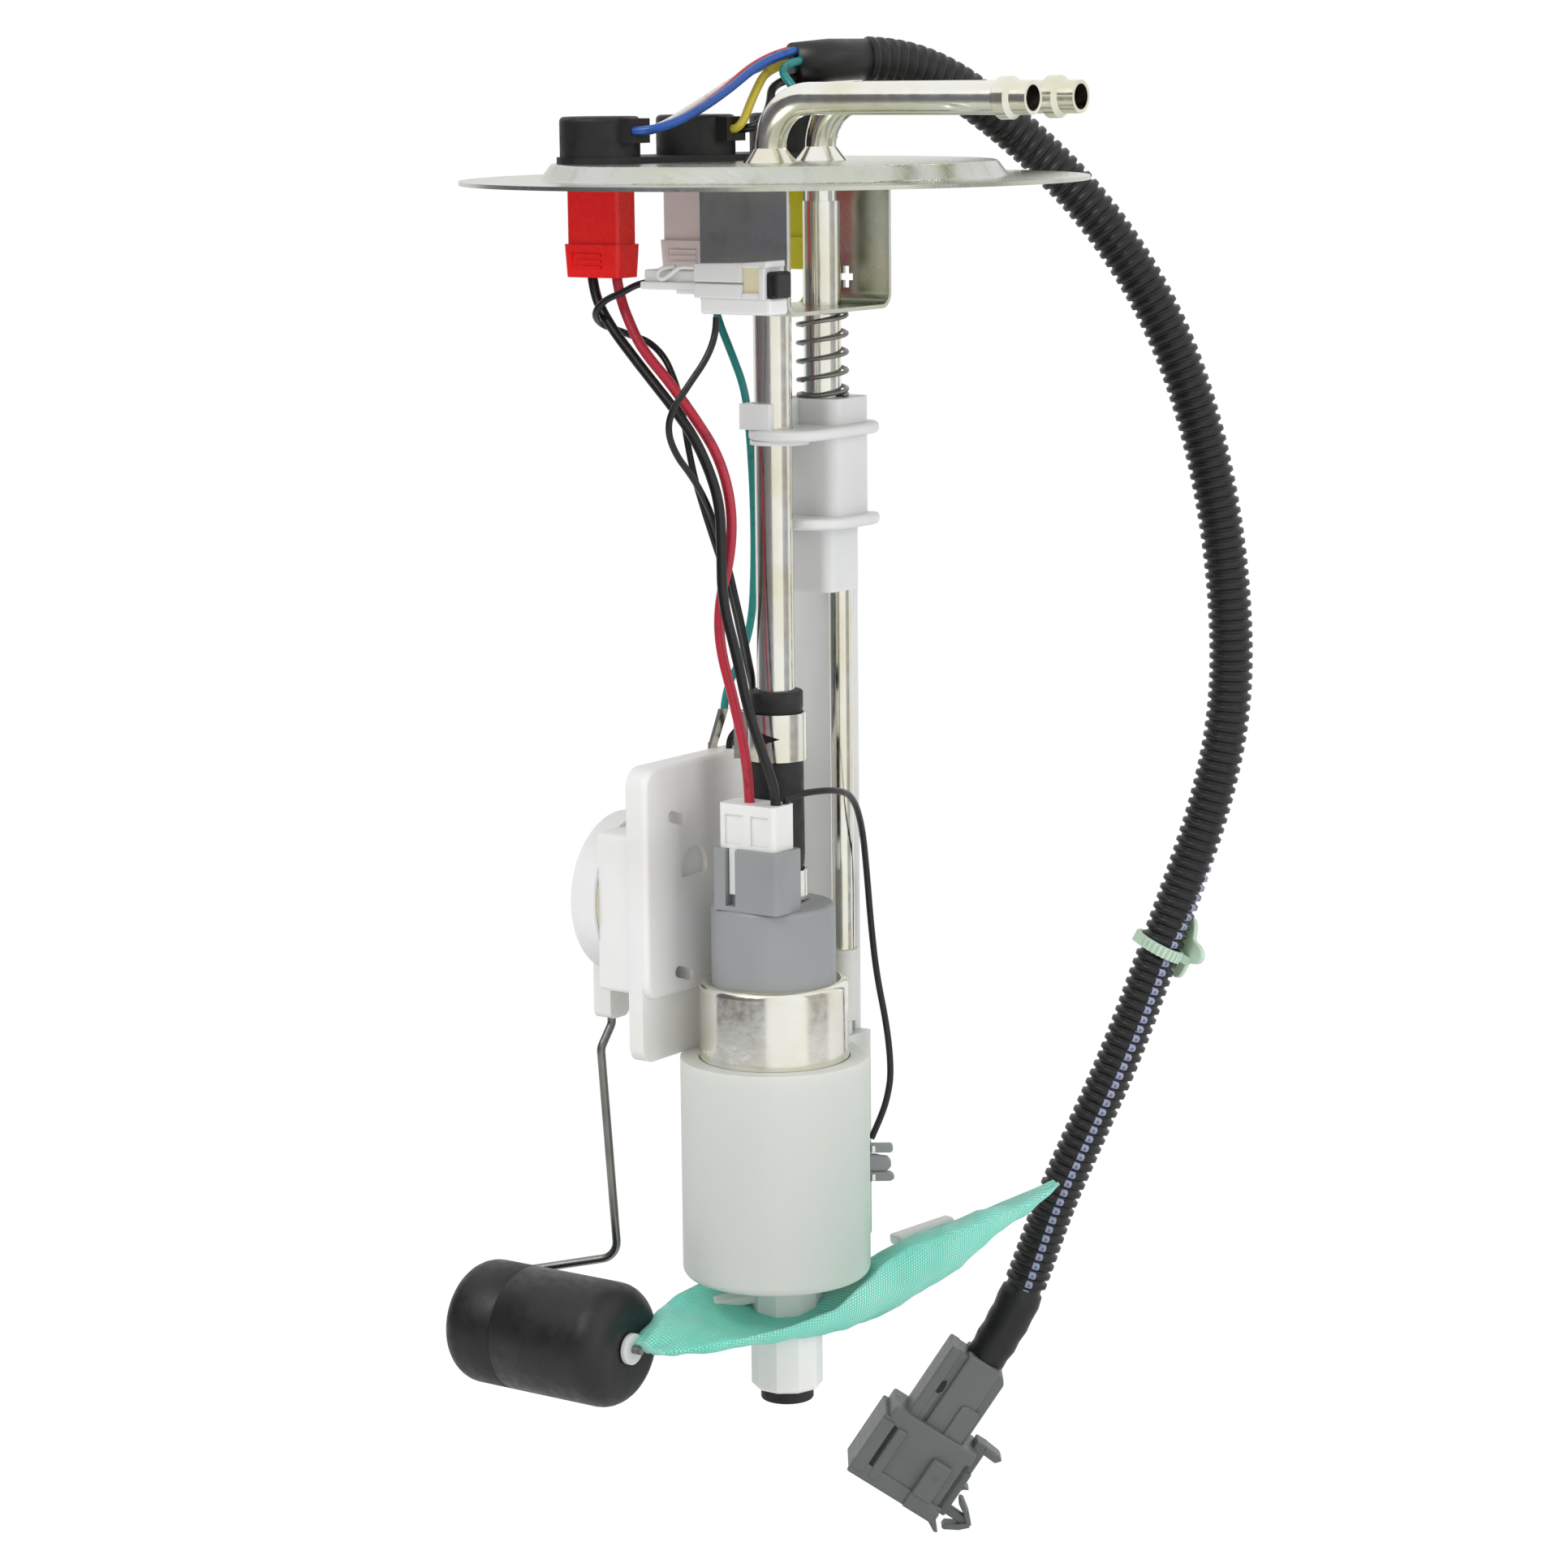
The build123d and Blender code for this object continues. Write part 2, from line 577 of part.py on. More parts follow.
# ---- electric plug on the pump ------------------------------------------------------------------
PLUG_AT = (9.6, -24.6)
PLUG = (17.0, 9.0)
PLUG_TOP = -152.5
PLUG_JOIN = PLUG_TOP - 11.3
PANEL = (5.4, 7.6)
KEY_W = 2.4
WIRE_R = 1.3
THIN_R = 0.85
PIN_X = [PLUG_AT[0] + 4.0 * (n - 1.5) for n in range(4)]
PIN_Z = PLUG_TOP - 3.5
key_x = PLUG_AT[0] - PLUG[0] / 4
key_y = PLUG_AT[1] - PLUG[1] / 2 + 0.2
with BuildPart() as pump_shroud:
    with BuildSketch(level(CAP_TOP)):
        with Locations(PLUG_AT):
            RectangleRounded(PLUG[0] + 3, PLUG[1] + 2.4, 1.5)
    extrude(amount=PLUG_JOIN - CAP_TOP)
    with BuildSketch(facing_y(key_y + 1.6)):
        with Locations((key_x, PLUG_JOIN)):
            Rectangle(KEY_W + 2 * FIT, PLUG_JOIN - CAP_TOP - 1.2, align=(Align.CENTER, Align.MAX))
    extrude(amount=4.0, mode=Mode.SUBTRACT)
    fillet(pump_shroud.faces().sort_by(Axis.Z)[-1].edges(), 0.5)
finish(pump_shroud, "pump_shroud")

with BuildPart() as pump_plug:
    with BuildSketch(level(PLUG_JOIN)):
        with Locations(PLUG_AT):
            RectangleRounded(PLUG[0], PLUG[1], 1.2)
    extrude(amount=PLUG_TOP - PLUG_JOIN)
    with BuildSketch(facing_y(PLUG_AT[1] - PLUG[1] / 2)):
        with Locations((PLUG_AT[0], (PLUG_TOP + PLUG_JOIN) / 2 - 0.8)):
            with GridLocations(PANEL[0] + KEY_W, 1, 2, 1):
                Rectangle(*PANEL)
    extrude(amount=-0.7, mode=Mode.SUBTRACT)
    with BuildSketch(facing_y(key_y)):
        with Locations((key_x, PLUG_JOIN + 1.0)):
            Rectangle(KEY_W, PLUG_JOIN - CAP_TOP - 3.0, align=(Align.CENTER, Align.MAX))
    extrude(amount=-1.2)
    with BuildSketch(level(PLUG_TOP)):
        with Locations((PIN_X[1], PLUG_AT[1]), (PIN_X[3], PLUG_AT[1])):
            Circle(WIRE_R + 0.15)
    extrude(amount=-4.0, mode=Mode.SUBTRACT)
finish(pump_plug, "pump_plug")

# ---- fuel hose and its clamps -------------------------------------------------------------------
with BuildPart() as fuel_hose:
    with BuildSketch(level(CAP_TOP)):
        with Locations(OUTLET):
            Circle(HOSE_R)
            Circle(HOSE_BORE + 0.05, mode=Mode.SUBTRACT)
    extrude(amount=HOSE_TOP - CAP_TOP)
finish(fuel_hose, "fuel_hose")


def hose_clamp(z_top, height, window):
    """A sprung band clamp that opens in a window and ends in two small ears."""
    band = 0.8
    inner = HOSE_R + 0.1
    with BuildPart() as clamp:
        with BuildSketch(level(z_top - height)):
            with Locations(OUTLET):
                Circle(inner + band)
                for side in (-1.5, 1.5):
                    with Locations(Location((0, 0), EAR_ANGLE)):
                        with Locations((inner + 1.8, side)):
                            Rectangle(4.0, band)
                Circle(inner, mode=Mode.SUBTRACT)
        extrude(amount=height)
        with BuildSketch(Plane(origin=(*OUTLET, z_top - height / 2), x_dir=WINDOW_X, z_dir=WINDOW_Z)):
            with BuildLine():
                Polyline((-window, -window / 1.6), (window, 0), (-window, window / 1.6), close=True)
            make_face()
        extrude(amount=inner + 3, mode=Mode.SUBTRACT)
    return clamp


EAR_ANGLE = 200.0
WINDOW_X = (0.95, 0.31, 0)
WINDOW_Z = (0.31, -0.95, 0)
upper_clamp = hose_clamp(-131.5, CLAMP_H, 3.0)
finish(upper_clamp, "upper_clamp")
lower_clamp = hose_clamp(-171.5, CLAMP_H / 1.6, 1.6)
finish(lower_clamp, "lower_clamp")

# ---- level sender -------------------------------------------------------------------------------
PLATE_Y = (-42.0, 6.0)
PLATE_TOP = -143.8
PLATE_STEP = -203.0
FOOTING_Y = -13.0
FOOTING_T = 4.2
PLATE_HOLES = ((-28.7, -157.8), (-26.6, -198.0))
MOON_AT = (-21.5, -171.5)
MOON_R = 5.5
MOON_DEPTH = 1.2
BODY_X = -27.5
BODY_Y = (-41.5, -8.0)
BODY_Z = (-201.5, -161.0)
GUARD_X = -35.0
GUARD_R = 20.8
GUARD_MID = (-23.0, -179.5)
GUARD_WALL = 1.2
PIVOT_R = 1.5
CARD_T = 0.8
PIVOT = (PIVOT_Y, PIVOT_Z)
chord = BODY_Y[1] - 2 - GUARD_MID[0]     # from the guard's middle to its flat side

with BuildPart() as sender_plate:
    with BuildSketch(facing_x(PLATE_X)):
        with BuildLine():
            FilletPolyline((PLATE_Y[0], PLATE_STEP), (PLATE_Y[1], PLATE_STEP), (PLATE_Y[1], PLATE_TOP),
                           (PLATE_Y[0], PLATE_TOP), radius=5.0, close=True)
        make_face()
    extrude(amount=PLATE_T)
    fillet(sender_plate.faces().sort_by(Axis.X)[-1].edges(), 1.4)
    with BuildSketch(facing_x(PLATE_X)):
        with BuildLine():
            FilletPolyline((PLATE_Y[0], CUP_TOP), (FOOTING_Y, CUP_TOP), (FOOTING_Y, PLATE_STEP + 8),
                           (PLATE_Y[0], PLATE_STEP + 8), radius=[4.0, 0.5, 0.5, 4.0], close=True)
        make_face()
    extrude(amount=FOOTING_T)
    with BuildSketch(facing_x(PLATE_X)):
        with Locations(*PLATE_HOLES):
            SlotOverall(7.5, 3.0, rotation=-18)
    extrude(amount=PLATE_T, mode=Mode.SUBTRACT)
    with BuildSketch(facing_x(PLATE_X)):
        with Locations(PIVOT):
            Circle(PIVOT_R + 2)
    extrude(amount=PLATE_T - 2.4, mode=Mode.SUBTRACT)
    with BuildSketch(facing_x(PLATE_X + PLATE_T - MOON_DEPTH)):
        with Locations(MOON_AT):
            Circle(MOON_R)
            with Locations((0, -MOON_R * 0.35)):
                Rectangle(2 * MOON_R, MOON_R, align=(Align.CENTER, Align.MAX), mode=Mode.SUBTRACT)
    extrude(amount=MOON_DEPTH, mode=Mode.SUBTRACT)
finish(sender_plate, "sender_plate")

with BuildPart() as sender_body:
    with BuildSketch(facing_x(BODY_X)):
        with Locations(((BODY_Y[0] + BODY_Y[1]) / 2, (BODY_Z[0] + BODY_Z[1]) / 2)):
            RectangleRounded(BODY_Y[1] - BODY_Y[0], BODY_Z[1] - BODY_Z[0], 1.5)
    extrude(amount=PLATE_X - BODY_X)
    with BuildSketch(facing_x(BODY_X)):
        with Locations(PIVOT):
            Circle(PIVOT_R + RUNNING)
    extrude(amount=4.0, mode=Mode.SUBTRACT)
finish(sender_body, "sender_body")

with BuildPart() as resistor_card:
    with BuildSketch(facing_x(BODY_X - CARD_T)):
        with Locations(GUARD_MID):
            Circle(GUARD_R - GUARD_WALL - FIT)
            with Locations((chord - GUARD_WALL - FIT, 0)):
                Rectangle(GUARD_R, 3 * GUARD_R, align=(Align.MIN, Align.CENTER), mode=Mode.SUBTRACT)
        with Locations(PIVOT):
            Circle(PIVOT_R + 1, mode=Mode.SUBTRACT)
    extrude(amount=CARD_T)
finish(resistor_card, "resistor_card")

with BuildPart() as sender_guard:
    with BuildSketch(facing_x(GUARD_X)):
        with Locations(GUARD_MID):
            Circle(GUARD_R)
            with Locations((chord, 0)):
                Rectangle(GUARD_R, 3 * GUARD_R, align=(Align.MIN, Align.CENTER), mode=Mode.SUBTRACT)
    extrude(amount=BODY_X - GUARD_X)
    fillet(sender_guard.faces().sort_by(Axis.X)[0].edges(), 1.0)
    with BuildSketch(facing_x(GUARD_X + GUARD_WALL)):
        with Locations(GUARD_MID):
            Circle(GUARD_R - GUARD_WALL)
            with Locations((chord - GUARD_WALL, 0)):
                Rectangle(GUARD_R, 3 * GUARD_R, align=(Align.MIN, Align.CENTER), mode=Mode.SUBTRACT)
    extrude(amount=BODY_X - GUARD_X, mode=Mode.SUBTRACT)
    with BuildSketch(facing_x(GUARD_X)):
        with Locations(PIVOT):
            Circle(PIVOT_R + RUNNING)
    extrude(amount=GUARD_WALL, mode=Mode.SUBTRACT)
finish(sender_guard, "sender_guard")

TAIL_TOP = (PLATE_X + 3.4, -4.0)
TAG_T = 0.8
with BuildPart() as ring_terminal:
    with BuildSketch(facing_x(PLATE_X - TAG_T)):
        with Locations((TAIL_TOP[1], PLATE_TOP - 6)):
            Circle(3.2)
            Rectangle(3.0, 7.5, align=(Align.CENTER, Align.MIN))
            Circle(1.2, mode=Mode.SUBTRACT)
    extrude(amount=TAG_T)
    with BuildSketch(facing_y(TAIL_TOP[1] + 1.5)):
        with BuildLine():
            Polyline((PLATE_X - TAG_T, PLATE_TOP + 0.5), (PLATE_X, PLATE_TOP + 0.5),
                     (TAIL_TOP[0] + TAG_T / 2, PLATE_TOP + 10.5), (TAIL_TOP[0] - TAG_T, PLATE_TOP + 10.5), close=True)
        make_face()
    extrude(amount=3.0)
finish(ring_terminal, "ring_terminal")

# ---- float arm ----------------------------------------------------------------------------------
HOLDER_X = (GUARD_X - 5.6, GUARD_X - FIT)
HOLDER_END = -213.0
WIRE_X = GUARD_X - 3.0
WIRE_Y = -23.0
WIRE_TOP = -204.0
holder_w = 8.0

with BuildPart() as arm_holder:
    with BuildSketch(facing_x(HOLDER_X[0])):
        with Locations(PIVOT):
            Circle(holder_w * 0.75)
        with Locations((WIRE_Y, HOLDER_END)):
            Rectangle(holder_w, PIVOT_Z - HOLDER_END, align=(Align.CENTER, Align.MIN))
    extrude(amount=HOLDER_X[1] - HOLDER_X[0])
    fillet(arm_holder.edges().filter_by(Axis.X).group_by(Axis.Z)[0], 2.0)
    with BuildSketch(level(HOLDER_END)):
        with Locations((WIRE_X, WIRE_Y)):
            Circle(ARM_WIRE + 0.02)
    extrude(amount=WIRE_TOP - HOLDER_END, mode=Mode.SUBTRACT)
    with BuildSketch(facing_x(HOLDER_X[1])):
        with Locations(PIVOT):
            Circle(PIVOT_R)
    extrude(amount=BODY_X + 3.5 - HOLDER_X[1])
finish(arm_holder, "arm_holder")

WIPER_X = BODY_X - CARD_T - 1.6
with BuildPart() as wiper:
    with BuildSketch(facing_x(WIPER_X)):
        with Locations(PIVOT):
            Circle(PIVOT_R + 2.0)
            with Locations((-5.2, -5.2)):
                Rectangle(2.5, 16.0, rotation=-45)
            Circle(PIVOT_R, mode=Mode.SUBTRACT)
    extrude(amount=0.8)
finish(wiper, "wiper")

FLOAT_AXIS = (FLOAT_Y, FLOAT_Z)
WIRE_END = FLOAT_X + FLOAT_LEN / 2 + 4.0
ARM_ROUTE = [
    (WIRE_X, WIRE_Y, WIRE_TOP), (WIRE_X, WIRE_Y, HOLDER_END - 2.0), (WIRE_X - 1, WIRE_Y - 3.5, HOLDER_END - 8),
    (WIRE_X + 1, WIRE_Y - 0.5, FLOAT_Z + 14), (FLOAT_X - FLOAT_LEN / 2 - 5, FLOAT_Y + 14, FLOAT_Z + 7),
    (FLOAT_X - FLOAT_LEN / 2 - 6, FLOAT_Y, FLOAT_Z), (WIRE_END, FLOAT_Y, FLOAT_Z),
]
with BuildPart() as float_arm:
    with BuildLine():
        FilletPolyline(*ARM_ROUTE, radius=[3.0, 3.5, 5.0, 4.5, 4.5])
    with BuildSketch(Plane(origin=ARM_ROUTE[0], z_dir=(0, 0, -1))):
        Circle(ARM_WIRE)
    sweep()
finish(float_arm, "float_arm")

with BuildPart() as float_body:
    with BuildSketch(facing_x(FLOAT_X - FLOAT_LEN / 2)):
        with Locations(FLOAT_AXIS):
            Circle(FLOAT_R)
    extrude(amount=FLOAT_LEN)
    fillet(float_body.edges(), 6.0)
    with BuildSketch(facing_x(FLOAT_X - FLOAT_LEN / 2)):
        with Locations(FLOAT_AXIS):
            Circle(ARM_WIRE + RUNNING)
    extrude(amount=FLOAT_LEN, mode=Mode.SUBTRACT)
finish(float_body, "float")

with BuildPart() as float_washer:
    with BuildSketch(facing_x(FLOAT_X + FLOAT_LEN / 2 + FIT)):
        with Locations(FLOAT_AXIS):
            Circle(4.0)
            Circle(ARM_WIRE, mode=Mode.SUBTRACT)
    extrude(amount=1.2)
finish(float_washer, "float_washer")

# ---- foot, strainer and level switch ------------------------------------------------------------
PAD_TOP = -307.6
with BuildPart() as foot_post:
    with BuildSketch(level(PAD_TOP)):
        with Locations((FOOT_X, FOOT_Y)):
            RegularPolygon(FOOT_R, 10)
    extrude(amount=CUP_BOTTOM - PAD_TOP)
    chamfer(foot_post.faces().sort_by(Axis.Z)[0].edges(), 0.8)
finish(foot_post, "foot_post")

with BuildPart() as foot_pad:
    with BuildSketch(level(FOOT_BOTTOM)):
        with Locations((FOOT_X, FOOT_Y)):
            Circle(PAD_R)
    extrude(amount=PAD_TOP - FOOT_BOTTOM)
    fillet(foot_pad.edges().group_by(Axis.Z)[0], 0.6)
finish(foot_pad, "foot_pad")

STRAINER_Z = -289.5
STRAINER_T = 7.5
HEADING = 72.2                    # the strainer's length from the X axis
CLIMB = 9.0
heading = (cos(radians(HEADING)) * cos(radians(CLIMB)), sin(radians(HEADING)) * cos(radians(CLIMB)),
           sin(radians(CLIMB)))
across = (sin(radians(HEADING)), -cos(radians(HEADING)), 0)
strainer_normal = Vector(*across).cross(Vector(*heading))
strainer_plane = Plane(origin=(FOOT_X, FOOT_Y, STRAINER_Z), x_dir=heading, z_dir=strainer_normal)
LEAF = [(-29.0, 11.0), (-12.0, 16.5), (20.0, 18.0), (58.0, 13.0), (91.0, 3.0)]
with BuildPart() as strainer:
    with BuildSketch(strainer_plane.offset(-STRAINER_T / 2)):
        with BuildLine() as leaf:
            side = Spline(*LEAF)
            other = Spline(*[(x, -y) for x, y in LEAF])
            Line(side @ 0, other @ 0)
            Line(side @ 1, other @ 1)
        make_face()
    extrude(amount=STRAINER_T)
    flats = strainer.faces().filter_by(lambda f: abs(f.normal_at().dot(strainer_normal)) > 0.99)
    chamfer(flats.edges(), 2.0)
    with BuildSketch(level(FOOT_BOTTOM)):
        with Locations((FOOT_X, FOOT_Y)):
            Circle(FOOT_R + 4 * FIT)
    extrude(amount=CUP_BOTTOM - FOOT_BOTTOM, mode=Mode.SUBTRACT)
finish(strainer, "strainer")

with BuildPart() as strainer_frame:
    with BuildSketch(strainer_plane.offset(STRAINER_T / 2 + FIT)):
        Circle(FOOT_R + 3.5)
        with Locations((-26, 0)):
            Rectangle(76, 4.5, align=(Align.MIN, Align.CENTER))
    extrude(amount=1.8)
    with BuildSketch(level(FOOT_BOTTOM)):
        with Locations((FOOT_X, FOOT_Y)):
            Circle(FOOT_R + FIT)
    extrude(amount=CUP_BOTTOM - FOOT_BOTTOM, mode=Mode.SUBTRACT)
finish(strainer_frame, "strainer_frame")

SWITCH_Z = (-252.0, -243.0)
with BuildPart() as level_switch:
    with BuildSketch(level(SWITCH_Z[0])):
        with Locations((BACK_X[1], BACK_Y - 3)):
            Rectangle(1.0, 11.0, align=(Align.MIN, Align.MAX))
            Rectangle(9.0, 1.0, align=(Align.MIN, Align.MAX))
        with Locations((BACK_X[1] + 6, BACK_Y - 3)):
            Rectangle(3.0, 6.0, align=(Align.MIN, Align.MAX))
    extrude(amount=SWITCH_Z[1] - SWITCH_Z[0])
finish(level_switch, "level_switch")


# ---- cords --------------------------------------------------------------------------------------
def bend_radii(points):
    """The largest radius that each corner of a route has room for."""
    radii = []
    for before, corner, after in zip(points, points[1:], points[2:]):
        arriving = Vector(*corner) - Vector(*before)
        leaving = Vector(*after) - Vector(*corner)
        turn = radians(arriving.get_angle(leaving))
        radii.append(0.45 * min(arriving.length, leaving.length) / tan(turn / 2))
    return radii


def cord(label, points, radius):
    """A round cord along straight runs joined by tangent arcs."""
    radii = bend_radii(points)
    start = Vector(*points[0])
    with BuildPart() as tube:
        with BuildLine() as route:
            FilletPolyline(*points, radius=radii)
        with BuildSketch(Plane(origin=start, z_dir=Vector(*points[1]) - start)):
            Circle(radius)
        sweep()
    length = sum(edge.length for edge in route.edges())
    full = 3.14159 * radius ** 2 * length
    print(label, "length", round(length, 1), "smallest radius", round(min(radii), 1),
          "volume share", round(tube.part.volume / full, 4))
    finish(tube, label)
    return tube


LOOM_ROUTE = [
    (-8.3, 21.0, 28.9), (0.0, 39.0, 30.7), (9.9, 58.0, 27.0), (21.1, 75.6, 13.3), (34.7, 89.9, -4.8),
    (45.9, 100.1, -25.1), (54.3, 107.2, -46.6), (60.1, 112.4, -70.4), (64.3, 115.4, -96.4),
    (66.3, 116.7, -122.6), (65.9, 116.4, -144.5), (62.4, 114.0, -166.6), (57.1, 109.1, -188.6),
    (50.5, 104.6, -210.9), (43.9, 98.7, -235.4), (35.8, 93.1, -258.0), (28.5, 88.0, -278.4),
    (23.0, 84.3, -298.0), (18.2, 80.9, -312.6), (11.8, 76.5, -324.4),
]
loom = cord("loom", LOOM_ROUTE, LOOM_R)

# ---- plug at the end of the harness -------------------------------------------------------------
loom_end = Vector(*LOOM_ROUTE[-1])
plug_axis = (loom_end - Vector(*LOOM_ROUTE[-2])).normalized()
plug_side = plug_axis.cross(Vector(-0.571, 0.821, 0)).normalized()
BODY = (16.5, 13.0, 20.0)
SHELL = (26.0, 17.0, 19.5)
SHELL_WALL = 1.6
SHELL_SHIFT = -1.0


def along_plug(distance):
    """A plane across the plug, at a distance from the end of the loom."""
    return Plane(origin=loom_end + plug_axis * distance, x_dir=plug_side, z_dir=plug_axis)


with BuildPart() as harness_connector:
    with BuildSketch(along_plug(0)):
        RectangleRounded(BODY[0], BODY[1], 2.5)
    extrude(amount=BODY[2])
    with BuildSketch(along_plug(BODY[2])):
        with Locations((SHELL_SHIFT, 0)):
            RectangleRounded(SHELL[0], SHELL[1], 3.0)
    extrude(amount=SHELL[2])
    chamfer(harness_connector.faces().sort_by(lambda f: f.center().dot(plug_axis))[0].edges(), 1.0)
    with BuildSketch(along_plug(BODY[2] + SHELL[2])):
        with Locations((SHELL_SHIFT, 0)):
            RectangleRounded(SHELL[0] - 2 * SHELL_WALL, SHELL[1] - 2 * SHELL_WALL, 2.0)
    extrude(amount=-SHELL[2] + 3.0, mode=Mode.SUBTRACT)
    with BuildSketch(along_plug(BODY[2] + 3.0)):
        with Locations((SHELL_SHIFT, 0)):
            with GridLocations(6.0, 5.0, 3, 2):
                Rectangle(0.8, 0.8)
    extrude(amount=9.0)
finish(harness_connector, "harness_connector")

with BuildPart() as harness_clip:
    with BuildSketch(along_plug(BODY[2] + 3.0)):
        with Locations((SHELL_SHIFT + SHELL[0] / 2, 0)):
            Rectangle(1.6, 8.0, align=(Align.MIN, Align.CENTER))
    extrude(amount=SHELL[2] - 1.0)
    for reach, wide in ((3.0, 7.0), (6.5, 5.0)):
        with BuildSketch(along_plug(BODY[2] + SHELL[2] - 7.0)):
            with Locations((SHELL_SHIFT + SHELL[0] / 2 + 1.6, 0)):
                Rectangle(reach, wide, align=(Align.MIN, Align.CENTER))
        extrude(amount=1.4 if reach > 4 else 4.0)
finish(harness_clip, "harness_clip")

TIE_AT = Vector(*LOOM_ROUTE[13])
tie_dir = (Vector(*LOOM_ROUTE[14]) - Vector(*LOOM_ROUTE[12])).normalized()
tie_side = tie_dir.cross(Vector(-0.571, 0.821, 0)).normalized()
with BuildPart() as tie_clip:
    with BuildSketch(Plane(origin=TIE_AT - tie_dir * 2.5, x_dir=tie_side, z_dir=tie_dir)):
        Circle(LOOM_R + 2.2)
        with Locations((LOOM_R + 3.5, 0)):
            Rectangle(8.0, 7.0)
        Circle(LOOM_R + 0.6, mode=Mode.SUBTRACT)
    extrude(amount=5.0)
    with BuildSketch(Plane(origin=TIE_AT, x_dir=tie_dir, z_dir=tie_side).offset(LOOM_R + 7.5)):
        RegularPolygon(6.0, 6)
    extrude(amount=1.4)
finish(tie_clip, "tie_clip")

# ---- wires from the grommets to the loom --------------------------------------------------------
TOP_WIRE_R = 1.1
loom_start = Vector(*LOOM_ROUTE[0])
loom_dir = (Vector(*LOOM_ROUTE[1]) - loom_start).normalized()
loom_side = loom_dir.cross(Vector(0, 0, 1)).normalized()
loom_rise = loom_side.cross(loom_dir)
NECK_FACE = GROMMET_R * 1.25
NECK_OUT = Vector(1, 0, 0)
near_grommet, mid_grommet, far_grommet = grommets
TOP_WIRES = [
    ("top_wire_blue", near_grommet, -2.6, 8.1, [(-10.5, -10.0, 20.0)], (1.6, 3.3)),
    ("top_wire_red", near_grommet, 0.0, 5.5, [(-13.0, -9.5, 19.0)], (-1.2, 3.4)),
    ("top_wire_white", near_grommet, 2.6, 2.9, [(-16.0, -8.5, 19.5)], (-3.4, 1.2)),
    ("top_wire_yellow", mid_grommet, -1.6, 2.6, [(-9.8, 5.0, 21.0)], (-0.2, 0.4)),
    ("top_wire_black", mid_grommet, 1.6, 5.5, [(-6.3, 7.5, 18.0)], (0.4, -3.4)),
    ("top_wire_green", far_grommet, 0.0, 3.5, [(3.2, 21.0, 13.5), (3.6, 14.5, 17.5), (-0.5, 9.5, 22.5)],
     (3.4, 0.8)),
]
for label, (gx, gy), shift, run, mids, (side_shift, rise_shift) in TOP_WIRES:
    start = Vector(gx + NECK_FACE, gy + shift, NECK_Z)
    mouth = loom_start + loom_side * side_shift + loom_rise * rise_shift
    route = [start, start + NECK_OUT * run, *[Vector(*mid) for mid in mids], mouth - loom_dir * 7, mouth]
    cord(label, [tuple(p) for p in route], TOP_WIRE_R)

# ---- wires between the lid and the lower half ---------------------------------------------------
cord("wire_black", [
    (-36.5, -28.0, -17.2), (-36.3, -28.1, -25.5), (-30.6, -29.6, -34.0), (-20.5, -28.9, -45.2),
    (-11.2, -28.5, -54.8), (-5.6, -27.6, -62.0), (-1.2, -27.0, -70.9), (1.1, -26.6, -78.9),
    (1.7, -27.1, -88.7), (2.9, -28.7, -101.9), (7.1, -28.7, -115.2), (10.3, -28.5, -129.2),
    (PIN_X[3] - 0.6, PLUG_AT[1] - 1.9, PLUG_TOP + 8.5), (PIN_X[3], PLUG_AT[1], PLUG_TOP + 2.5),
    (PIN_X[3], PLUG_AT[1], PIN_Z),
], WIRE_R)
cord("wire_red", [
    (-29.0, -28.0, -17.2), (-28.8, -28.0, -25.5), (-22.5, -29.0, -37.3), (-18.6, -28.7, -42.4),
    (-13.8, -27.6, -47.7), (-7.4, -25.3, -56.9), (-1.6, -23.0, -66.6), (1.5, -22.1, -78.5),
    (1.8, -23.1, -90.7), (-0.2, -25.7, -102.5), (0.6, -27.0, -113.2), (4.5, -27.0, -125.7),
    (7.2, -26.0, -139.0),
    (PIN_X[1], PLUG_AT[1], PLUG_TOP + 3.5), (PIN_X[1], PLUG_AT[1], PIN_Z),
], WIRE_R)
cord("wire_thin", [
    (INLINE_X[0], INLINE_Y, INLINE_Z), (INLINE_X[0] - 4.0, INLINE_Y, INLINE_Z),
    (-23.4, -33.3, -27.1), (-27.7, -33.9, -28.1), (-31.9, -33.5, -31.7), (-34.5, -27.1, -34.9),
    (-31.5, -24.4, -36.2), (-29.0, -22.0, -37.7), (-24.2, -21.1, -39.0), (-18.8, -21.6, -42.8),
    (-15.4, -22.3, -48.3), (-13.1, -23.1, -53.0), (-10.9, -24.6, -58.7), (-9.5, -25.1, -64.4),
    (-7.9, -24.7, -72.4), (-6.2, -23.1, -80.6), (-4.0, -20.8, -90.8), (-2.2, -17.6, -101.3),
    (-2.8, -13.5, -111.0), (-3.8, -9.4, -119.2), (-4.7, -5.1, -127.7), (-7.5, 1.5, -137.0),
    (-13.5, 2.0, -140.0),
    (-15.5, 2.0, PLATE_TOP + 1.8), (-15.5, 2.0, PLATE_TOP),
], THIN_R)
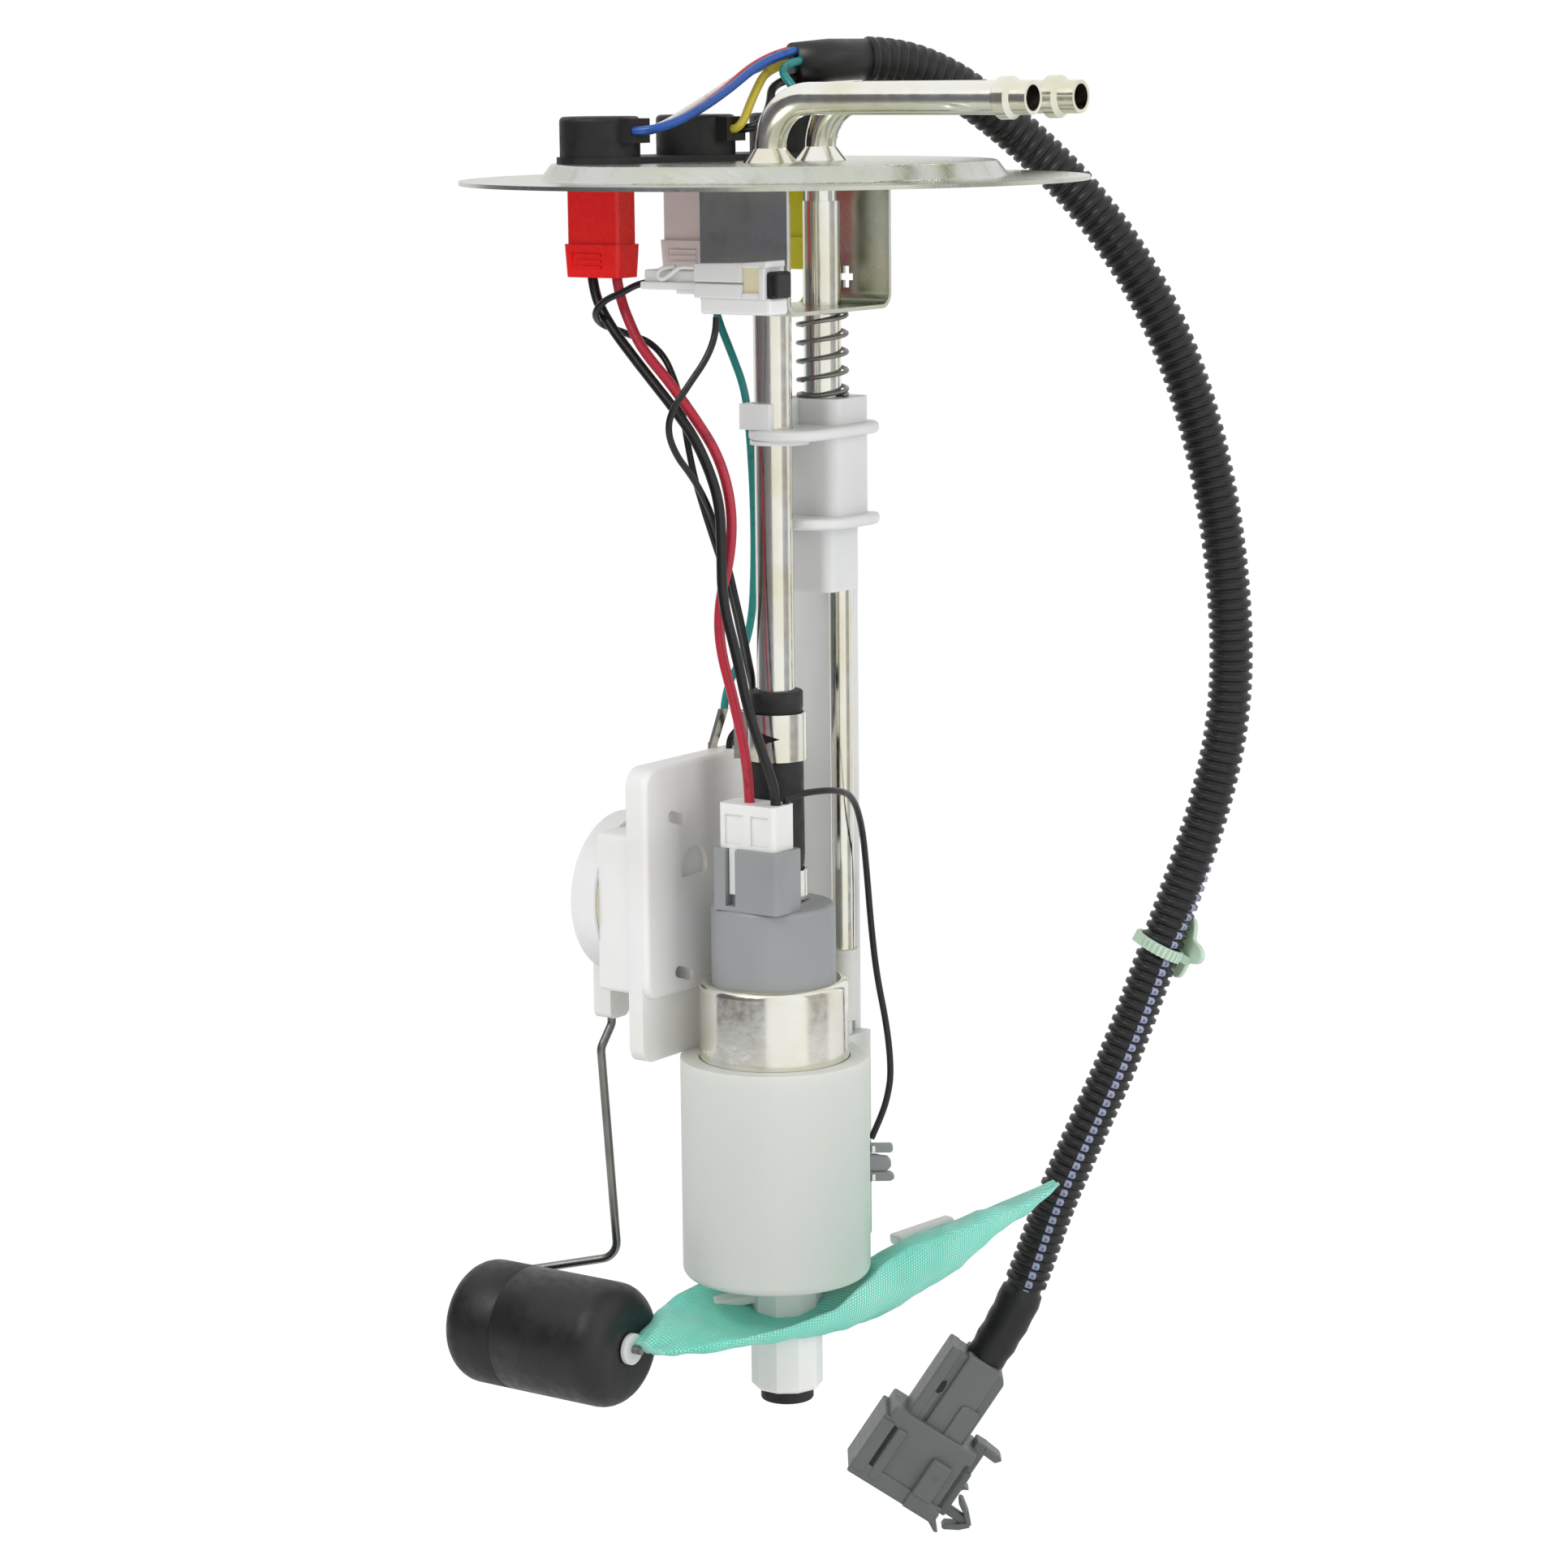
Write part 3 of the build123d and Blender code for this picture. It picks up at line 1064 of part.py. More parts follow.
cord("wire_signal", [
    (6.0, INLINE_Y, INLINE_Z - INLINE_H / 2), (6.0, INLINE_Y, INLINE_Z - INLINE_H / 2 - 3.5),
    (5.5, -37.0, -41.1), (2.1, -40.6, -47.9), (-1.3, -43.5, -54.5), (-2.4, -43.1, -59.7),
    (-2.2, -39.9, -65.3), (-1.7, -35.3, -69.8), (-2.0, -30.8, -74.2), (-2.4, -26.6, -79.1),
    (-2.4, -24.3, -83.3), (-1.8, -22.8, -88.1), (-0.5, -20.9, -94.7), (0.1, -19.2, -102.0),
    (-0.5, -15.6, -109.6), (-1.5, -12.0, -117.3), (-2.6, -7.7, -126.1), (-7.0, -4.0, -135.5),
    (-12.0, -2.6, -139.0),
    (-14.2, -2.6, PLATE_TOP + 2.3), (-14.2, -2.6, PLATE_TOP),
], THIN_R)
cord("wire_teal", [
    (-20.0, 0.0, -17.2), (-20.0, 0.0, -25.5), (-18.0, -0.3, -34.0), (-13.5, -0.4, -43.0),
    (-9.6, -0.2, -52.0), (-8.4, 0.0, -63.0), (-7.7, 0.4, -80.0), (-7.6, 0.2, -97.0),
    (-8.2, -0.3, -111.0), (-11.4, -1.3, -121.5), (-14.2, -3.5, -128.0),
    (*TAIL_TOP, PLATE_TOP + 10.5),
], 1.0)
cord("wire_grey", [
    (16.7, -22.0, PLUG_TOP), (16.7, -22.0, PLUG_TOP + 1.2), (18.2, -20.0, PLUG_TOP + 2.0),
    (20.5, -16.0, PLUG_TOP + 2.5), (22.5, -8.0, PLUG_TOP + 2.0), (19.8, 3.5, PLUG_TOP - 1.5), (15.2, 14.5, -164.0),
    (11.8, 21.6, -178.0),
    (12.4, 22.2, -190.0), (14.5, 21.6, -204.0), (18.4, 20.6, -217.5), (20.3, 19.6, -229.0),
    (18.2, 17.4, SWITCH_Z[1] + 8.0), (BACK_X[1] + 6, BACK_Y - 6, SWITCH_Z[1] + 3.5),
    (BACK_X[1] + 6, BACK_Y - 6, SWITCH_Z[1]),
], THIN_R)
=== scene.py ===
# %% [markdown]
# # A fuel pump module, dressed
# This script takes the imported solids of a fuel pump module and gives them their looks: bright plated pipes,
# zinc sheet, white nylon, black rubber, a woven strainer and a corrugated harness. Everything is in metres,
# in the solids' own frame: the origin is the centre of the lid's seat and +Z points up, out of the tank.

import json
import math

import bmesh
import bpy
from mathutils import Matrix, Vector, noise

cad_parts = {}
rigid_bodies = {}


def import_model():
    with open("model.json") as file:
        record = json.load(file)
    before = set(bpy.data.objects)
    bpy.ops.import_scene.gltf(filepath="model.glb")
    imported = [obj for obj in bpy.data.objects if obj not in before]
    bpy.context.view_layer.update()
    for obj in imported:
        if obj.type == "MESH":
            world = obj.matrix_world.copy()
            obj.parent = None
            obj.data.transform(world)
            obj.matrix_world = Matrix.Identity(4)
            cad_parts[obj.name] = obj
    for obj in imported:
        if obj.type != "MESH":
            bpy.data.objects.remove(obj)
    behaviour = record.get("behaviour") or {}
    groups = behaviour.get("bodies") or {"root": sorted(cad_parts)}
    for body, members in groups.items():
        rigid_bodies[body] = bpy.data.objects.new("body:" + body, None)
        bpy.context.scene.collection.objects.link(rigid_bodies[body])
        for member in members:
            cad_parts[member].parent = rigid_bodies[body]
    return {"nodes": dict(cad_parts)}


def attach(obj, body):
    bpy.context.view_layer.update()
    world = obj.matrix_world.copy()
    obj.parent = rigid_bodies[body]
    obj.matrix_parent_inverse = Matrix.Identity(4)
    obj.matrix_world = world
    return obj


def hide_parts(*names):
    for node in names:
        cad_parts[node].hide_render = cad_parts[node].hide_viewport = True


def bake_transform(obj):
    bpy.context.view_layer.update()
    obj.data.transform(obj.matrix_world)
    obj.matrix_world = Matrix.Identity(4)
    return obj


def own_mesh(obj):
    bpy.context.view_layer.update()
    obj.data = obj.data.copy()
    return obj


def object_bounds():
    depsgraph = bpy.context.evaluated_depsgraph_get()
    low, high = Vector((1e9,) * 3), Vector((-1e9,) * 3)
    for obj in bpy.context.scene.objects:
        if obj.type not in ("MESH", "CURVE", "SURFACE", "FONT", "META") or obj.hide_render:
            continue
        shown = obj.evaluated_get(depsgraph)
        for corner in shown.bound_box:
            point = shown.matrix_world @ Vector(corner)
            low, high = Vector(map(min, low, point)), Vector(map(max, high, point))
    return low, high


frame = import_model()
cad_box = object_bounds()
nodes = frame["nodes"]
MM = 0.001

# %% [markdown]
# A few small helpers serve every step. `linked` puts an object into the scene, `from_bmesh` turns a
# finished bmesh into one, `new_verts` picks out what an extrusion made, so that it can be moved, and
# `axes_at` is the matrix of a place with its own three directions.


# %% New objects and their places
def linked(name, data):
    """A new object with this data, linked into the scene."""
    made = bpy.data.objects.new(name, data)
    bpy.context.collection.objects.link(made)
    return made


def from_bmesh(name, shape):
    """A bmesh made into an object. The bmesh is used up."""
    mesh = bpy.data.meshes.new(name)
    shape.to_mesh(mesh)
    shape.free()
    return linked(name, mesh)


def new_verts(grown):
    """The vertices among what an operator made."""
    return [item for item in grown["geom"] if isinstance(item, bmesh.types.BMVert)]


def axes_at(at, x, y, z):
    """The matrix that moves the origin to a point and the three axes onto three directions."""
    return Matrix.Translation(at) @ Matrix((x, y, z)).transposed().to_4x4()


UP = Vector((0, 0, 1))
print("helpers ready")

# %% [markdown]
# ## The camera
# The module is seen a little from above, turned by 35 degrees, from about a metre. A long lens keeps the
# lid's ellipse flat. The view is built from three directions, right, up and away, because that says the
# turn, the tilt and the small roll in one place.

# %% Camera
EYE_DISTANCE = 1.061
EYE_HEIGHT = 0.031
EYE_TURN = math.atan2(0.57, 0.82)
EYE_TILT = math.radians(9.8)
EYE_ROLL = math.radians(0.6)
EYE_SHIFT = 0.0008
SENSOR = 36.0
FOCAL_PX = 5200
FRAME_PX = 1932

eye_right = Vector((math.cos(EYE_TURN), math.sin(EYE_TURN), 0))
eye_away = Vector((-math.sin(EYE_TURN), math.cos(EYE_TURN), 0))
eye_forward = eye_away * math.cos(EYE_TILT) - UP * math.sin(EYE_TILT)
eye_up = eye_away * math.sin(EYE_TILT) + UP * math.cos(EYE_TILT)
roll_right = eye_right * math.cos(EYE_ROLL) - eye_up * math.sin(EYE_ROLL)
roll_up = eye_right * math.sin(EYE_ROLL) + eye_up * math.cos(EYE_ROLL)
eye_at = eye_right * EYE_SHIFT - eye_away * EYE_DISTANCE + UP * EYE_HEIGHT

camera = linked("camera", bpy.data.cameras.new("camera"))
camera.data.sensor_width = SENSOR
camera.data.sensor_fit = "HORIZONTAL"
camera.data.lens = SENSOR * FOCAL_PX / FRAME_PX
camera.data.clip_end = 20
camera.matrix_world = axes_at(eye_at, roll_right, roll_up, -eye_forward)
bpy.context.scene.camera = camera
print("camera lens", round(camera.data.lens, 1), "mm")

# %% [markdown]
# ## Shader expressions
# Materials read best as formulas. `Signal` wraps one socket, so that `1 - mask * 0.3` adds its own Math
# nodes.


# %% Signals
class Signal:
    """A number, colour or vector that travels along one link of a material."""

    def __init__(self, finish, socket):
        self.finish = finish
        self.socket = socket

    def math(self, operation, other=0.0, flipped=False):
        """This signal and another one, or a number, put through a Math node."""
        first, second = (other, self) if flipped else (self, other)
        return self.finish.node("ShaderNodeMath", "Value", {"operation": operation}, {0: first, 1: second})

    def __add__(self, other):
        return self.math("ADD", other)

    def __sub__(self, other):
        return self.math("SUBTRACT", other)

    def __rsub__(self, other):
        return self.math("SUBTRACT", other, flipped=True)

    def __mul__(self, other):
        return self.math("MULTIPLY", other)

    def __truediv__(self, other):
        return self.math("DIVIDE", other)

    def __gt__(self, other):
        return self.math("GREATER_THAN", other)

    __radd__ = __add__
    __rmul__ = __mul__


print("signals ready")

# %% [markdown]
# `Finish` is one material on a Principled shader. Its `node` method adds any node, and the other methods
# name the few nodes that every finish here is made of. What is the same all over a surface goes straight
# into the shader's own sockets.


# %% Finishes
class Finish:
    """One procedural material on a Principled shader."""

    def __init__(self, name, **constants):
        self.material = bpy.data.materials.new(name)
        self.material.use_nodes = True
        self.tree = self.material.node_tree
        self.shader = self.tree.nodes["Principled BSDF"]
        for socket, value in constants.items():
            self.shader.inputs[socket.replace("_", " ")].default_value = value

    def node(self, kind, output, settings=None, sockets=None):
        """A new node: its settings go in first, then the values and links of its sockets."""
        made = self.tree.nodes.new(kind)
        for name, value in (settings or {}).items():
            setattr(made, name, value)
        for key, value in (sockets or {}).items():
            if isinstance(value, Signal):
                self.tree.links.new(value.socket, made.inputs[key])
            else:
                made.inputs[key].default_value = value
        return Signal(self, made.outputs[output])

    def place(self):
        """Where a point of the surface is, in metres, in the solids' own frame."""
        return self.node("ShaderNodeTexCoord", "Object")

    def axis(self, letter, at=None):
        """One coordinate of the place."""
        return self.node("ShaderNodeSeparateXYZ", letter, sockets={0: at or self.place()})

    def attribute(self, name):
        """A number that the mesh carries at its vertices."""
        return self.node("ShaderNodeAttribute", "Fac", {"attribute_name": name})

    def noise(self, scale, detail=3.0, at=None):
        """Soft clouds between 0 and 1, scale of them to a metre."""
        amounts = {"Vector": at or self.place(), "Scale": scale, "Detail": detail}
        return self.node("ShaderNodeTexNoise", "Fac", sockets=amounts)

    def stretched(self, scale):
        """The place with each axis scaled, so that a pattern is drawn out along the small ones."""
        return self.node("ShaderNodeMapping", "Vector", sockets={"Vector": self.place(), "Scale": scale})

    def between(self, low, high, value, low_out=0.0, high_out=1.0):
        """The value fitted from low..high to low_out..high_out, and held there outside."""
        ends = {0: value, 1: low, 2: high, 3: low_out, 4: high_out}
        return self.node("ShaderNodeMapRange", "Result", {"clamp": True}, ends)

    def blend(self, first, second, factor):
        """Two colours mixed by a factor. Sockets 6 and 7 and output 2 are Mix's colour ones."""
        colours = {6: first, 7: second, 0: factor}
        return self.node("ShaderNodeMix", 2, {"data_type": "RGBA"}, colours)

    def drive(self, socket, signal):
        """Links a signal to a socket of the shader."""
        self.tree.links.new(signal.socket, self.shader.inputs[socket])

    def surface(self, signal):
        """Links a signal to the material's output in place of the shader."""
        self.tree.links.new(signal.socket, self.tree.nodes["Material Output"].inputs["Surface"])

    def bump(self, height, distance, strength=1.0):
        """Dents as deep as distance, in metres, where the height goes from 1 to 0."""
        made = {"Height": height, "Distance": distance, "Strength": strength}
        self.drive("Normal", self.node("ShaderNodeBump", "Normal", sockets=made))

    def glow_within(self, weight, reach, scale):
        """Lets light sink in, by a reach for each colour times a scale in metres."""
        self.shader.inputs["Subsurface Weight"].default_value = weight
        self.shader.inputs["Subsurface Radius"].default_value = reach
        self.shader.inputs["Subsurface Scale"].default_value = scale


def rgb(*colour):
    """A colour written as it should look, as the shader wants it."""
    return tuple(((c + 0.055) / 1.055) ** 2.4 if c > 0.04045 else c / 12.92 for c in colour) + (1.0,)


print("finishes ready")

# %% [markdown]
# ## Light
# The module hangs in front of a plain white ground in soft studio light. A sky of even light gives the
# base, and its strength is plain white where the camera, gloss or glass sees it, so that the white costs no
# light on the object. White is a strength of 1, picked by the kind of ray.

# %% Sky
SKY = 0.62

world = bpy.data.worlds.new("white room")
bpy.context.scene.world = world
world.use_nodes = True
sky_tree = world.node_tree
rays = sky_tree.nodes.new("ShaderNodeLightPath")
seen = rays.outputs["Is Camera Ray"]
for kind in ("Is Glossy Ray", "Is Transmission Ray"):
    either = sky_tree.nodes.new("ShaderNodeMath")
    either.operation = "MAXIMUM"
    sky_tree.links.new(seen, either.inputs[0])
    sky_tree.links.new(rays.outputs[kind], either.inputs[1])
    seen = either.outputs[0]
level = sky_tree.nodes.new("ShaderNodeMapRange")
level.inputs["To Min"].default_value = SKY
level.inputs["To Max"].default_value = 1.0
sky_tree.links.new(seen, level.inputs["Value"])
background = sky_tree.nodes["Background"]
background.inputs["Color"].default_value = (1, 1, 1, 1)
sky_tree.links.new(level.outputs["Result"], background.inputs["Strength"])
bpy.context.scene.view_settings.view_transform = "Standard"
print("sky at", SKY)

# %% [markdown]
# One large lamp from the upper left draws the forms, and a second one from the right fills them. A weak
# third one stands low in front, for the undersides, and is kept out of reflections. Each place is written
# as so much to the right, away from the eye and up.

# %% Lamps
AIM = Vector((0, 0, -0.15))
LAMPS = [
    ("key lamp", (-0.9, -0.9, 0.9), 0.7, 9.0),
    ("fill lamp", (1.1, -0.5, 0.2), 0.8, 5.0),
    ("low lamp", (-0.25, -1.1, -0.30), 0.8, 1.3),
]
for name, (right, away, up), size, watts in LAMPS:
    light = bpy.data.lights.new(name, "AREA")
    light.size = size
    light.energy = watts
    lamp = linked(name, light)
    lamp.location = eye_right * right + eye_away * away + UP * up
    lamp.rotation_euler = (AIM - lamp.location).to_track_quat("-Z", "Y").to_euler()
    lamp.visible_glossy = name != "low lamp"
print("lamps:", len(LAMPS))

# %% [markdown]
# The floor is one large square just under the module. The camera sees most of its white as glow, so it
# stays white without more light, and the rest of it is lit, so that it keeps the object's shadow.

# %% Floor
FLOOR_HALF = 40.0
FLOOR_Z = cad_box[0][2] - 0.012
FLOOR_GLOW = 1.08
FLOOR_SEEN = 0.86

shape = bmesh.new()
bmesh.ops.create_grid(shape, x_segments=1, y_segments=1, size=FLOOR_HALF)
bmesh.ops.translate(shape, verts=shape.verts, vec=(0, 0, FLOOR_Z))
floor = from_bmesh("floor", shape)
ground = Finish("white floor", Base_Color=(0.9, 0.9, 0.9, 1), Roughness=0.9)
glow = ground.node("ShaderNodeEmission", "Emission", sockets={"Color": (1, 1, 1, 1), "Strength": FLOOR_GLOW})
watched = ground.node("ShaderNodeLightPath", "Is Camera Ray") * FLOOR_SEEN
lit = Signal(ground, ground.shader.outputs[0])
ground.surface(ground.node("ShaderNodeMixShader", 0, sockets={0: watched, 1: lit, 2: glow}))
floor.data.materials.append(ground.material)
print("floor at", round(FLOOR_Z, 4))

# %% [markdown]
# Bright metal has no look of its own: it shows what stands round it. A studio stands dark and white boards
# round such an object, so that its tubes get crisp dark and bright stripes. A ring of boards does that
# here. Only glossy rays see it, so it neither lights the object nor shows in the picture.

# %% Boards round the object
BOARD_R = 0.72
BOARD_STEPS = 96
BOARD_HEIGHT = 0.72
BOARD_FOOT = FLOOR_Z + 0.001

shape = bmesh.new()
rim = bmesh.ops.create_circle(shape, segments=BOARD_STEPS, radius=BOARD_R)["verts"]
bmesh.ops.translate(shape, verts=rim, vec=(0, 0, BOARD_FOOT))
top = new_verts(bmesh.ops.extrude_edge_only(shape, edges=shape.edges[:]))
bmesh.ops.translate(shape, verts=top, vec=(0, 0, BOARD_HEIGHT))
boards = from_bmesh("boards", shape)
for kind in ("camera", "diffuse", "shadow", "transmission", "volume_scatter"):
    setattr(boards, "visible_" + kind, False)
print("ring of boards,", 2 * BOARD_R, "m across")

# %% [markdown]
# The boards' tones are a ramp round the ring. Each pair is a share of the full circle and how bright the
# ring is there. The circle starts behind the module and goes by its left, 0.25, its front, 0.5, and its
# right, 0.75. Dark boards are a little blue.

# %% Tones of the boards
BOARDS = [
    (0.0, 0.9), (0.13, 0.85), (0.165, 0.30), (0.22, 0.16), (0.28, 0.13), (0.32, 0.17), (0.40, 0.22),
    (0.455, 0.30), (0.475, 0.95), (0.63, 1.0), (0.65, 0.42), (0.73, 0.36), (0.76, 0.9), (1.0, 0.95),
]

board = Finish("boards")
turned = board.node("ShaderNodeMapping", "Vector", sockets={
    "Vector": board.place(), "Rotation": (0, 0, math.pi / 2 - EYE_TURN)})
bearing = board.axis("Y", turned).math("ARCTAN2", board.axis("X", turned)) / (2 * math.pi) + 0.5
ramp = board.node("ShaderNodeValToRGB", "Color", sockets={"Fac": bearing})
stops = ramp.socket.node.color_ramp
stops.interpolation = "EASE"
while len(stops.elements) < len(BOARDS):
    stops.elements.new(0.5)
for stop, (share, _) in zip(stops.elements, BOARDS):
    stop.position = share
for stop, (_, tone) in zip(stops.elements, BOARDS):
    stop.color = (tone, tone * (0.98 + 0.02 * tone), tone * (1.12 - 0.14 * tone), 1)
board.surface(board.node("ShaderNodeEmission", "Emission", sockets={"Color": ramp}))
boards.data.materials.append(board.material)
print("boards:", len(BOARDS), "tones")

# %% [markdown]
# ## Metals
# The lid and the bracket are zinc-plated sheet: pale grey, satin, with faint rolling lines and a slight
# yellow-green cast where the passivation pooled. The pipes and tubes are plated bright, so they stay smooth
# and only their tint wanders a little.


# %% Zinc and bright plating
def zinc_sheet():
    """Satin sheet with rolling lines, clouds and small dull spots."""
    finish = Finish("zinc sheet", Metallic=1.0)
    cloud = finish.noise(38.0, 4.0)
    spots = finish.between(0.55, 0.7, finish.noise(160.0, 3.0))
    lines = finish.noise(30.0, 2.0, at=finish.stretched((4.0, 60.0, 4.0)))
    tint = finish.blend(rgb(0.80, 0.81, 0.80), rgb(0.76, 0.77, 0.68), finish.between(0.35, 0.75, cloud))
    finish.drive("Base Color", finish.blend(tint, rgb(0.64, 0.65, 0.62), spots * 0.35))
    finish.drive("Roughness", finish.between(0.2, 0.8, lines, 0.18, 0.32))
    finish.bump(lines * 0.4 + cloud * 0.6, 0.0001, 0.5)
    return finish


def plated_tube():
    """Smooth bright plating whose tint wanders."""
    finish = Finish("bright plating", Metallic=1.0)
    cloud = finish.noise(60.0, 3.0)
    fine = finish.noise(420.0, 2.0)
    tint = finish.blend(rgb(0.93, 0.93, 0.90), rgb(0.88, 0.86, 0.76), finish.between(0.4, 0.75, cloud))
    finish.drive("Base Color", tint)
    finish.drive("Roughness", finish.between(0.3, 0.7, fine, 0.10, 0.22))
    finish.bump(fine, 0.00003, 0.4)
    return finish


ZINC = zinc_sheet()
PLATED = plated_tube()
print("zinc and plating ready")

# %% [markdown]
# The spring and the float's arm are plain drawn wire, and the pump's magnets and armature are bare iron.
# Both are darker than plating and much rougher.


# %% Drawn wire and iron
def drawn_wire():
    """Dull steel wire, lighter and darker by turns."""
    finish = Finish("drawn steel wire", Metallic=1.0)
    cloud = finish.noise(90.0, 3.0)
    finish.drive("Base Color", finish.blend(rgb(0.62, 0.62, 0.60), rgb(0.42, 0.42, 0.41), cloud))
    finish.drive("Roughness", finish.between(0.3, 0.7, cloud, 0.25, 0.42))
    finish.bump(finish.noise(700.0), 0.00003, 0.5)
    return finish


def bare_iron():
    """Dark grained iron."""
    finish = Finish("bare iron", Metallic=0.9)
    grain = finish.noise(500.0, 4.0)
    finish.drive("Base Color", finish.blend(rgb(0.34, 0.34, 0.35), rgb(0.24, 0.24, 0.25), grain))
    finish.drive("Roughness", finish.between(0.3, 0.7, grain, 0.45, 0.65))
    finish.bump(grain, 0.00008)
    return finish


WIRE_STEEL = drawn_wire()
IRON = bare_iron()
print("wire and iron ready")

# %% [markdown]
# ## Plastics and rubbers
# Moulded parts differ in colour, gloss and how deep light goes. Natural nylon is cloudy and a little
# translucent, so its colour drifts and light sinks in. The dark parts carry a fine moulded grain. One
# function makes them all, from a pale and a dark tone and the range of the roughness.


# %% Moulded finishes
MILKY = (1.0, 0.9, 0.75)
SINK = 0.003


def moulded(name, pale, dark, rough=(0.35, 0.5), grain=600.0, depth=0.00004, milky=0.0):
    """A moulded plastic whose colour drifts between two tones, over a fine grain."""
    finish = Finish(name)
    drift = finish.noise(26.0, 3.0)
    fine = finish.noise(grain, 2.0)
    finish.drive("Base Color", finish.blend(rgb(*pale), rgb(*dark), finish.between(0.35, 0.7, drift)))
    finish.drive("Roughness", finish.between(0.3, 0.7, fine, *rough))
    finish.bump(fine, depth, 0.6)
    if milky:
        finish.glow_within(milky, MILKY, SINK)
    return finish


NYLON = moulded("natural nylon", (0.925, 0.925, 0.92), (0.885, 0.88, 0.865), (0.32, 0.45), milky=0.3)
CLOUDY = moulded("cloudy nylon", (0.875, 0.88, 0.88), (0.825, 0.83, 0.825), (0.3, 0.42), milky=0.35)
GREY = moulded("pump grey", (0.60, 0.61, 0.615), (0.555, 0.565, 0.57), (0.4, 0.55))
PLUG_GREY = moulded("plug grey", (0.42, 0.435, 0.43), (0.37, 0.385, 0.38), (0.36, 0.5))
RED = moulded("red plastic", (0.97, 0.05, 0.04), (0.92, 0.03, 0.03), (0.2, 0.32))
YELLOW = moulded("yellow plastic", (0.97, 0.93, 0.16), (0.93, 0.88, 0.12), (0.25, 0.38))
BLACK = moulded("black plastic", (0.06, 0.06, 0.065), (0.04, 0.04, 0.045), (0.35, 0.5))
RUBBER = moulded("black rubber", (0.07, 0.07, 0.07), (0.05, 0.05, 0.055), (0.45, 0.65), 350.0, 0.0001)
FOAM = moulded("float black", (0.085, 0.085, 0.09), (0.06, 0.06, 0.065), (0.38, 0.52), 420.0, 0.00012)
CARD = moulded("resistor card", (0.90, 0.87, 0.74), (0.84, 0.80, 0.66), (0.5, 0.6))
PALE_GREEN = moulded("pale green nylon", (0.78, 0.87, 0.79), (0.72, 0.82, 0.74), (0.3, 0.42), milky=0.35)
print("moulded finishes ready")

# %% [markdown]
# The cup round the pump's foot is thin and cloudy. Low down it is painted darker, as shade, most of all to
# the right, where the greenish fitting inside it also shows through. Two ramps over the place, one down and
# one to the right, give that.


# %% Milky cup
CUP_FADE = (-0.215, -0.276)
CUP_WIDTH = 0.030


def milky_cup():
    """Clouded nylon, painted darker low down as shade, that turns green low down and to the right."""
    finish = Finish("milky cup")
    drift = finish.noise(18.0, 3.0)
    grain = finish.noise(500.0)
    low = finish.between(*CUP_FADE, finish.axis("Z"))
    rightward = finish.axis("X") * eye_right.x + finish.axis("Y") * eye_right.y
    right = finish.between(0.0, CUP_WIDTH, rightward)
    base = finish.blend(rgb(0.865, 0.87, 0.85), rgb(0.815, 0.825, 0.80), drift)
    # Painted shade low down: the colour goes toward this darker tone, which turns green to the right, where
    # the fitting shows through.
    deep = finish.blend(rgb(0.72, 0.75, 0.725), rgb(0.57, 0.75, 0.67), right)
    finish.drive("Base Color", finish.blend(base, deep, low * 0.55 + low * right * 0.45))
    finish.drive("Roughness", finish.between(0.3, 0.7, grain, 0.3, 0.42))
    finish.bump(grain, 0.00004, 0.5)
    finish.glow_within(0.4, (0.9, 1.0, 0.85), 0.004)
    return finish


CUP = milky_cup()
print("cup finish ready")

# %% [markdown]
# Every wire wears a soft plastic sleeve. They differ in colour only, so one function gives them all the
# same gloss and the same few scuffs.


# %% Wire insulation
def insulation(name, colour):
    """A soft glossy sleeve with a few darker, duller scuffs."""
    finish = Finish(name)
    scuff = finish.between(0.55, 0.75, finish.noise(300.0, 4.0))
    shade = (c * 0.72 for c in colour)
    finish.drive("Base Color", finish.blend(rgb(*colour), rgb(*shade), scuff))
    finish.drive("Roughness", 0.30 + scuff * 0.25)
    finish.bump(finish.noise(900.0), 0.00003, 0.5)
    return finish


SLEEVES = {colour: insulation(colour + " sleeve", tone) for colour, tone in {
    "blue": (0.10, 0.33, 0.66),
    "red": (0.70, 0.13, 0.22),
    "white": (0.88, 0.88, 0.86),
    "yellow": (0.82, 0.74, 0.22),
    "black": (0.07, 0.065, 0.07),
    "green": (0.10, 0.52, 0.50),
}.items()}
print("sleeves:", sorted(SLEEVES))

# %% [markdown]
# ## The solids' finishes
# Each solid whose shape is already right keeps it and takes its finish here. The rest are replaced further
# down, by pieces made of the same stuff.

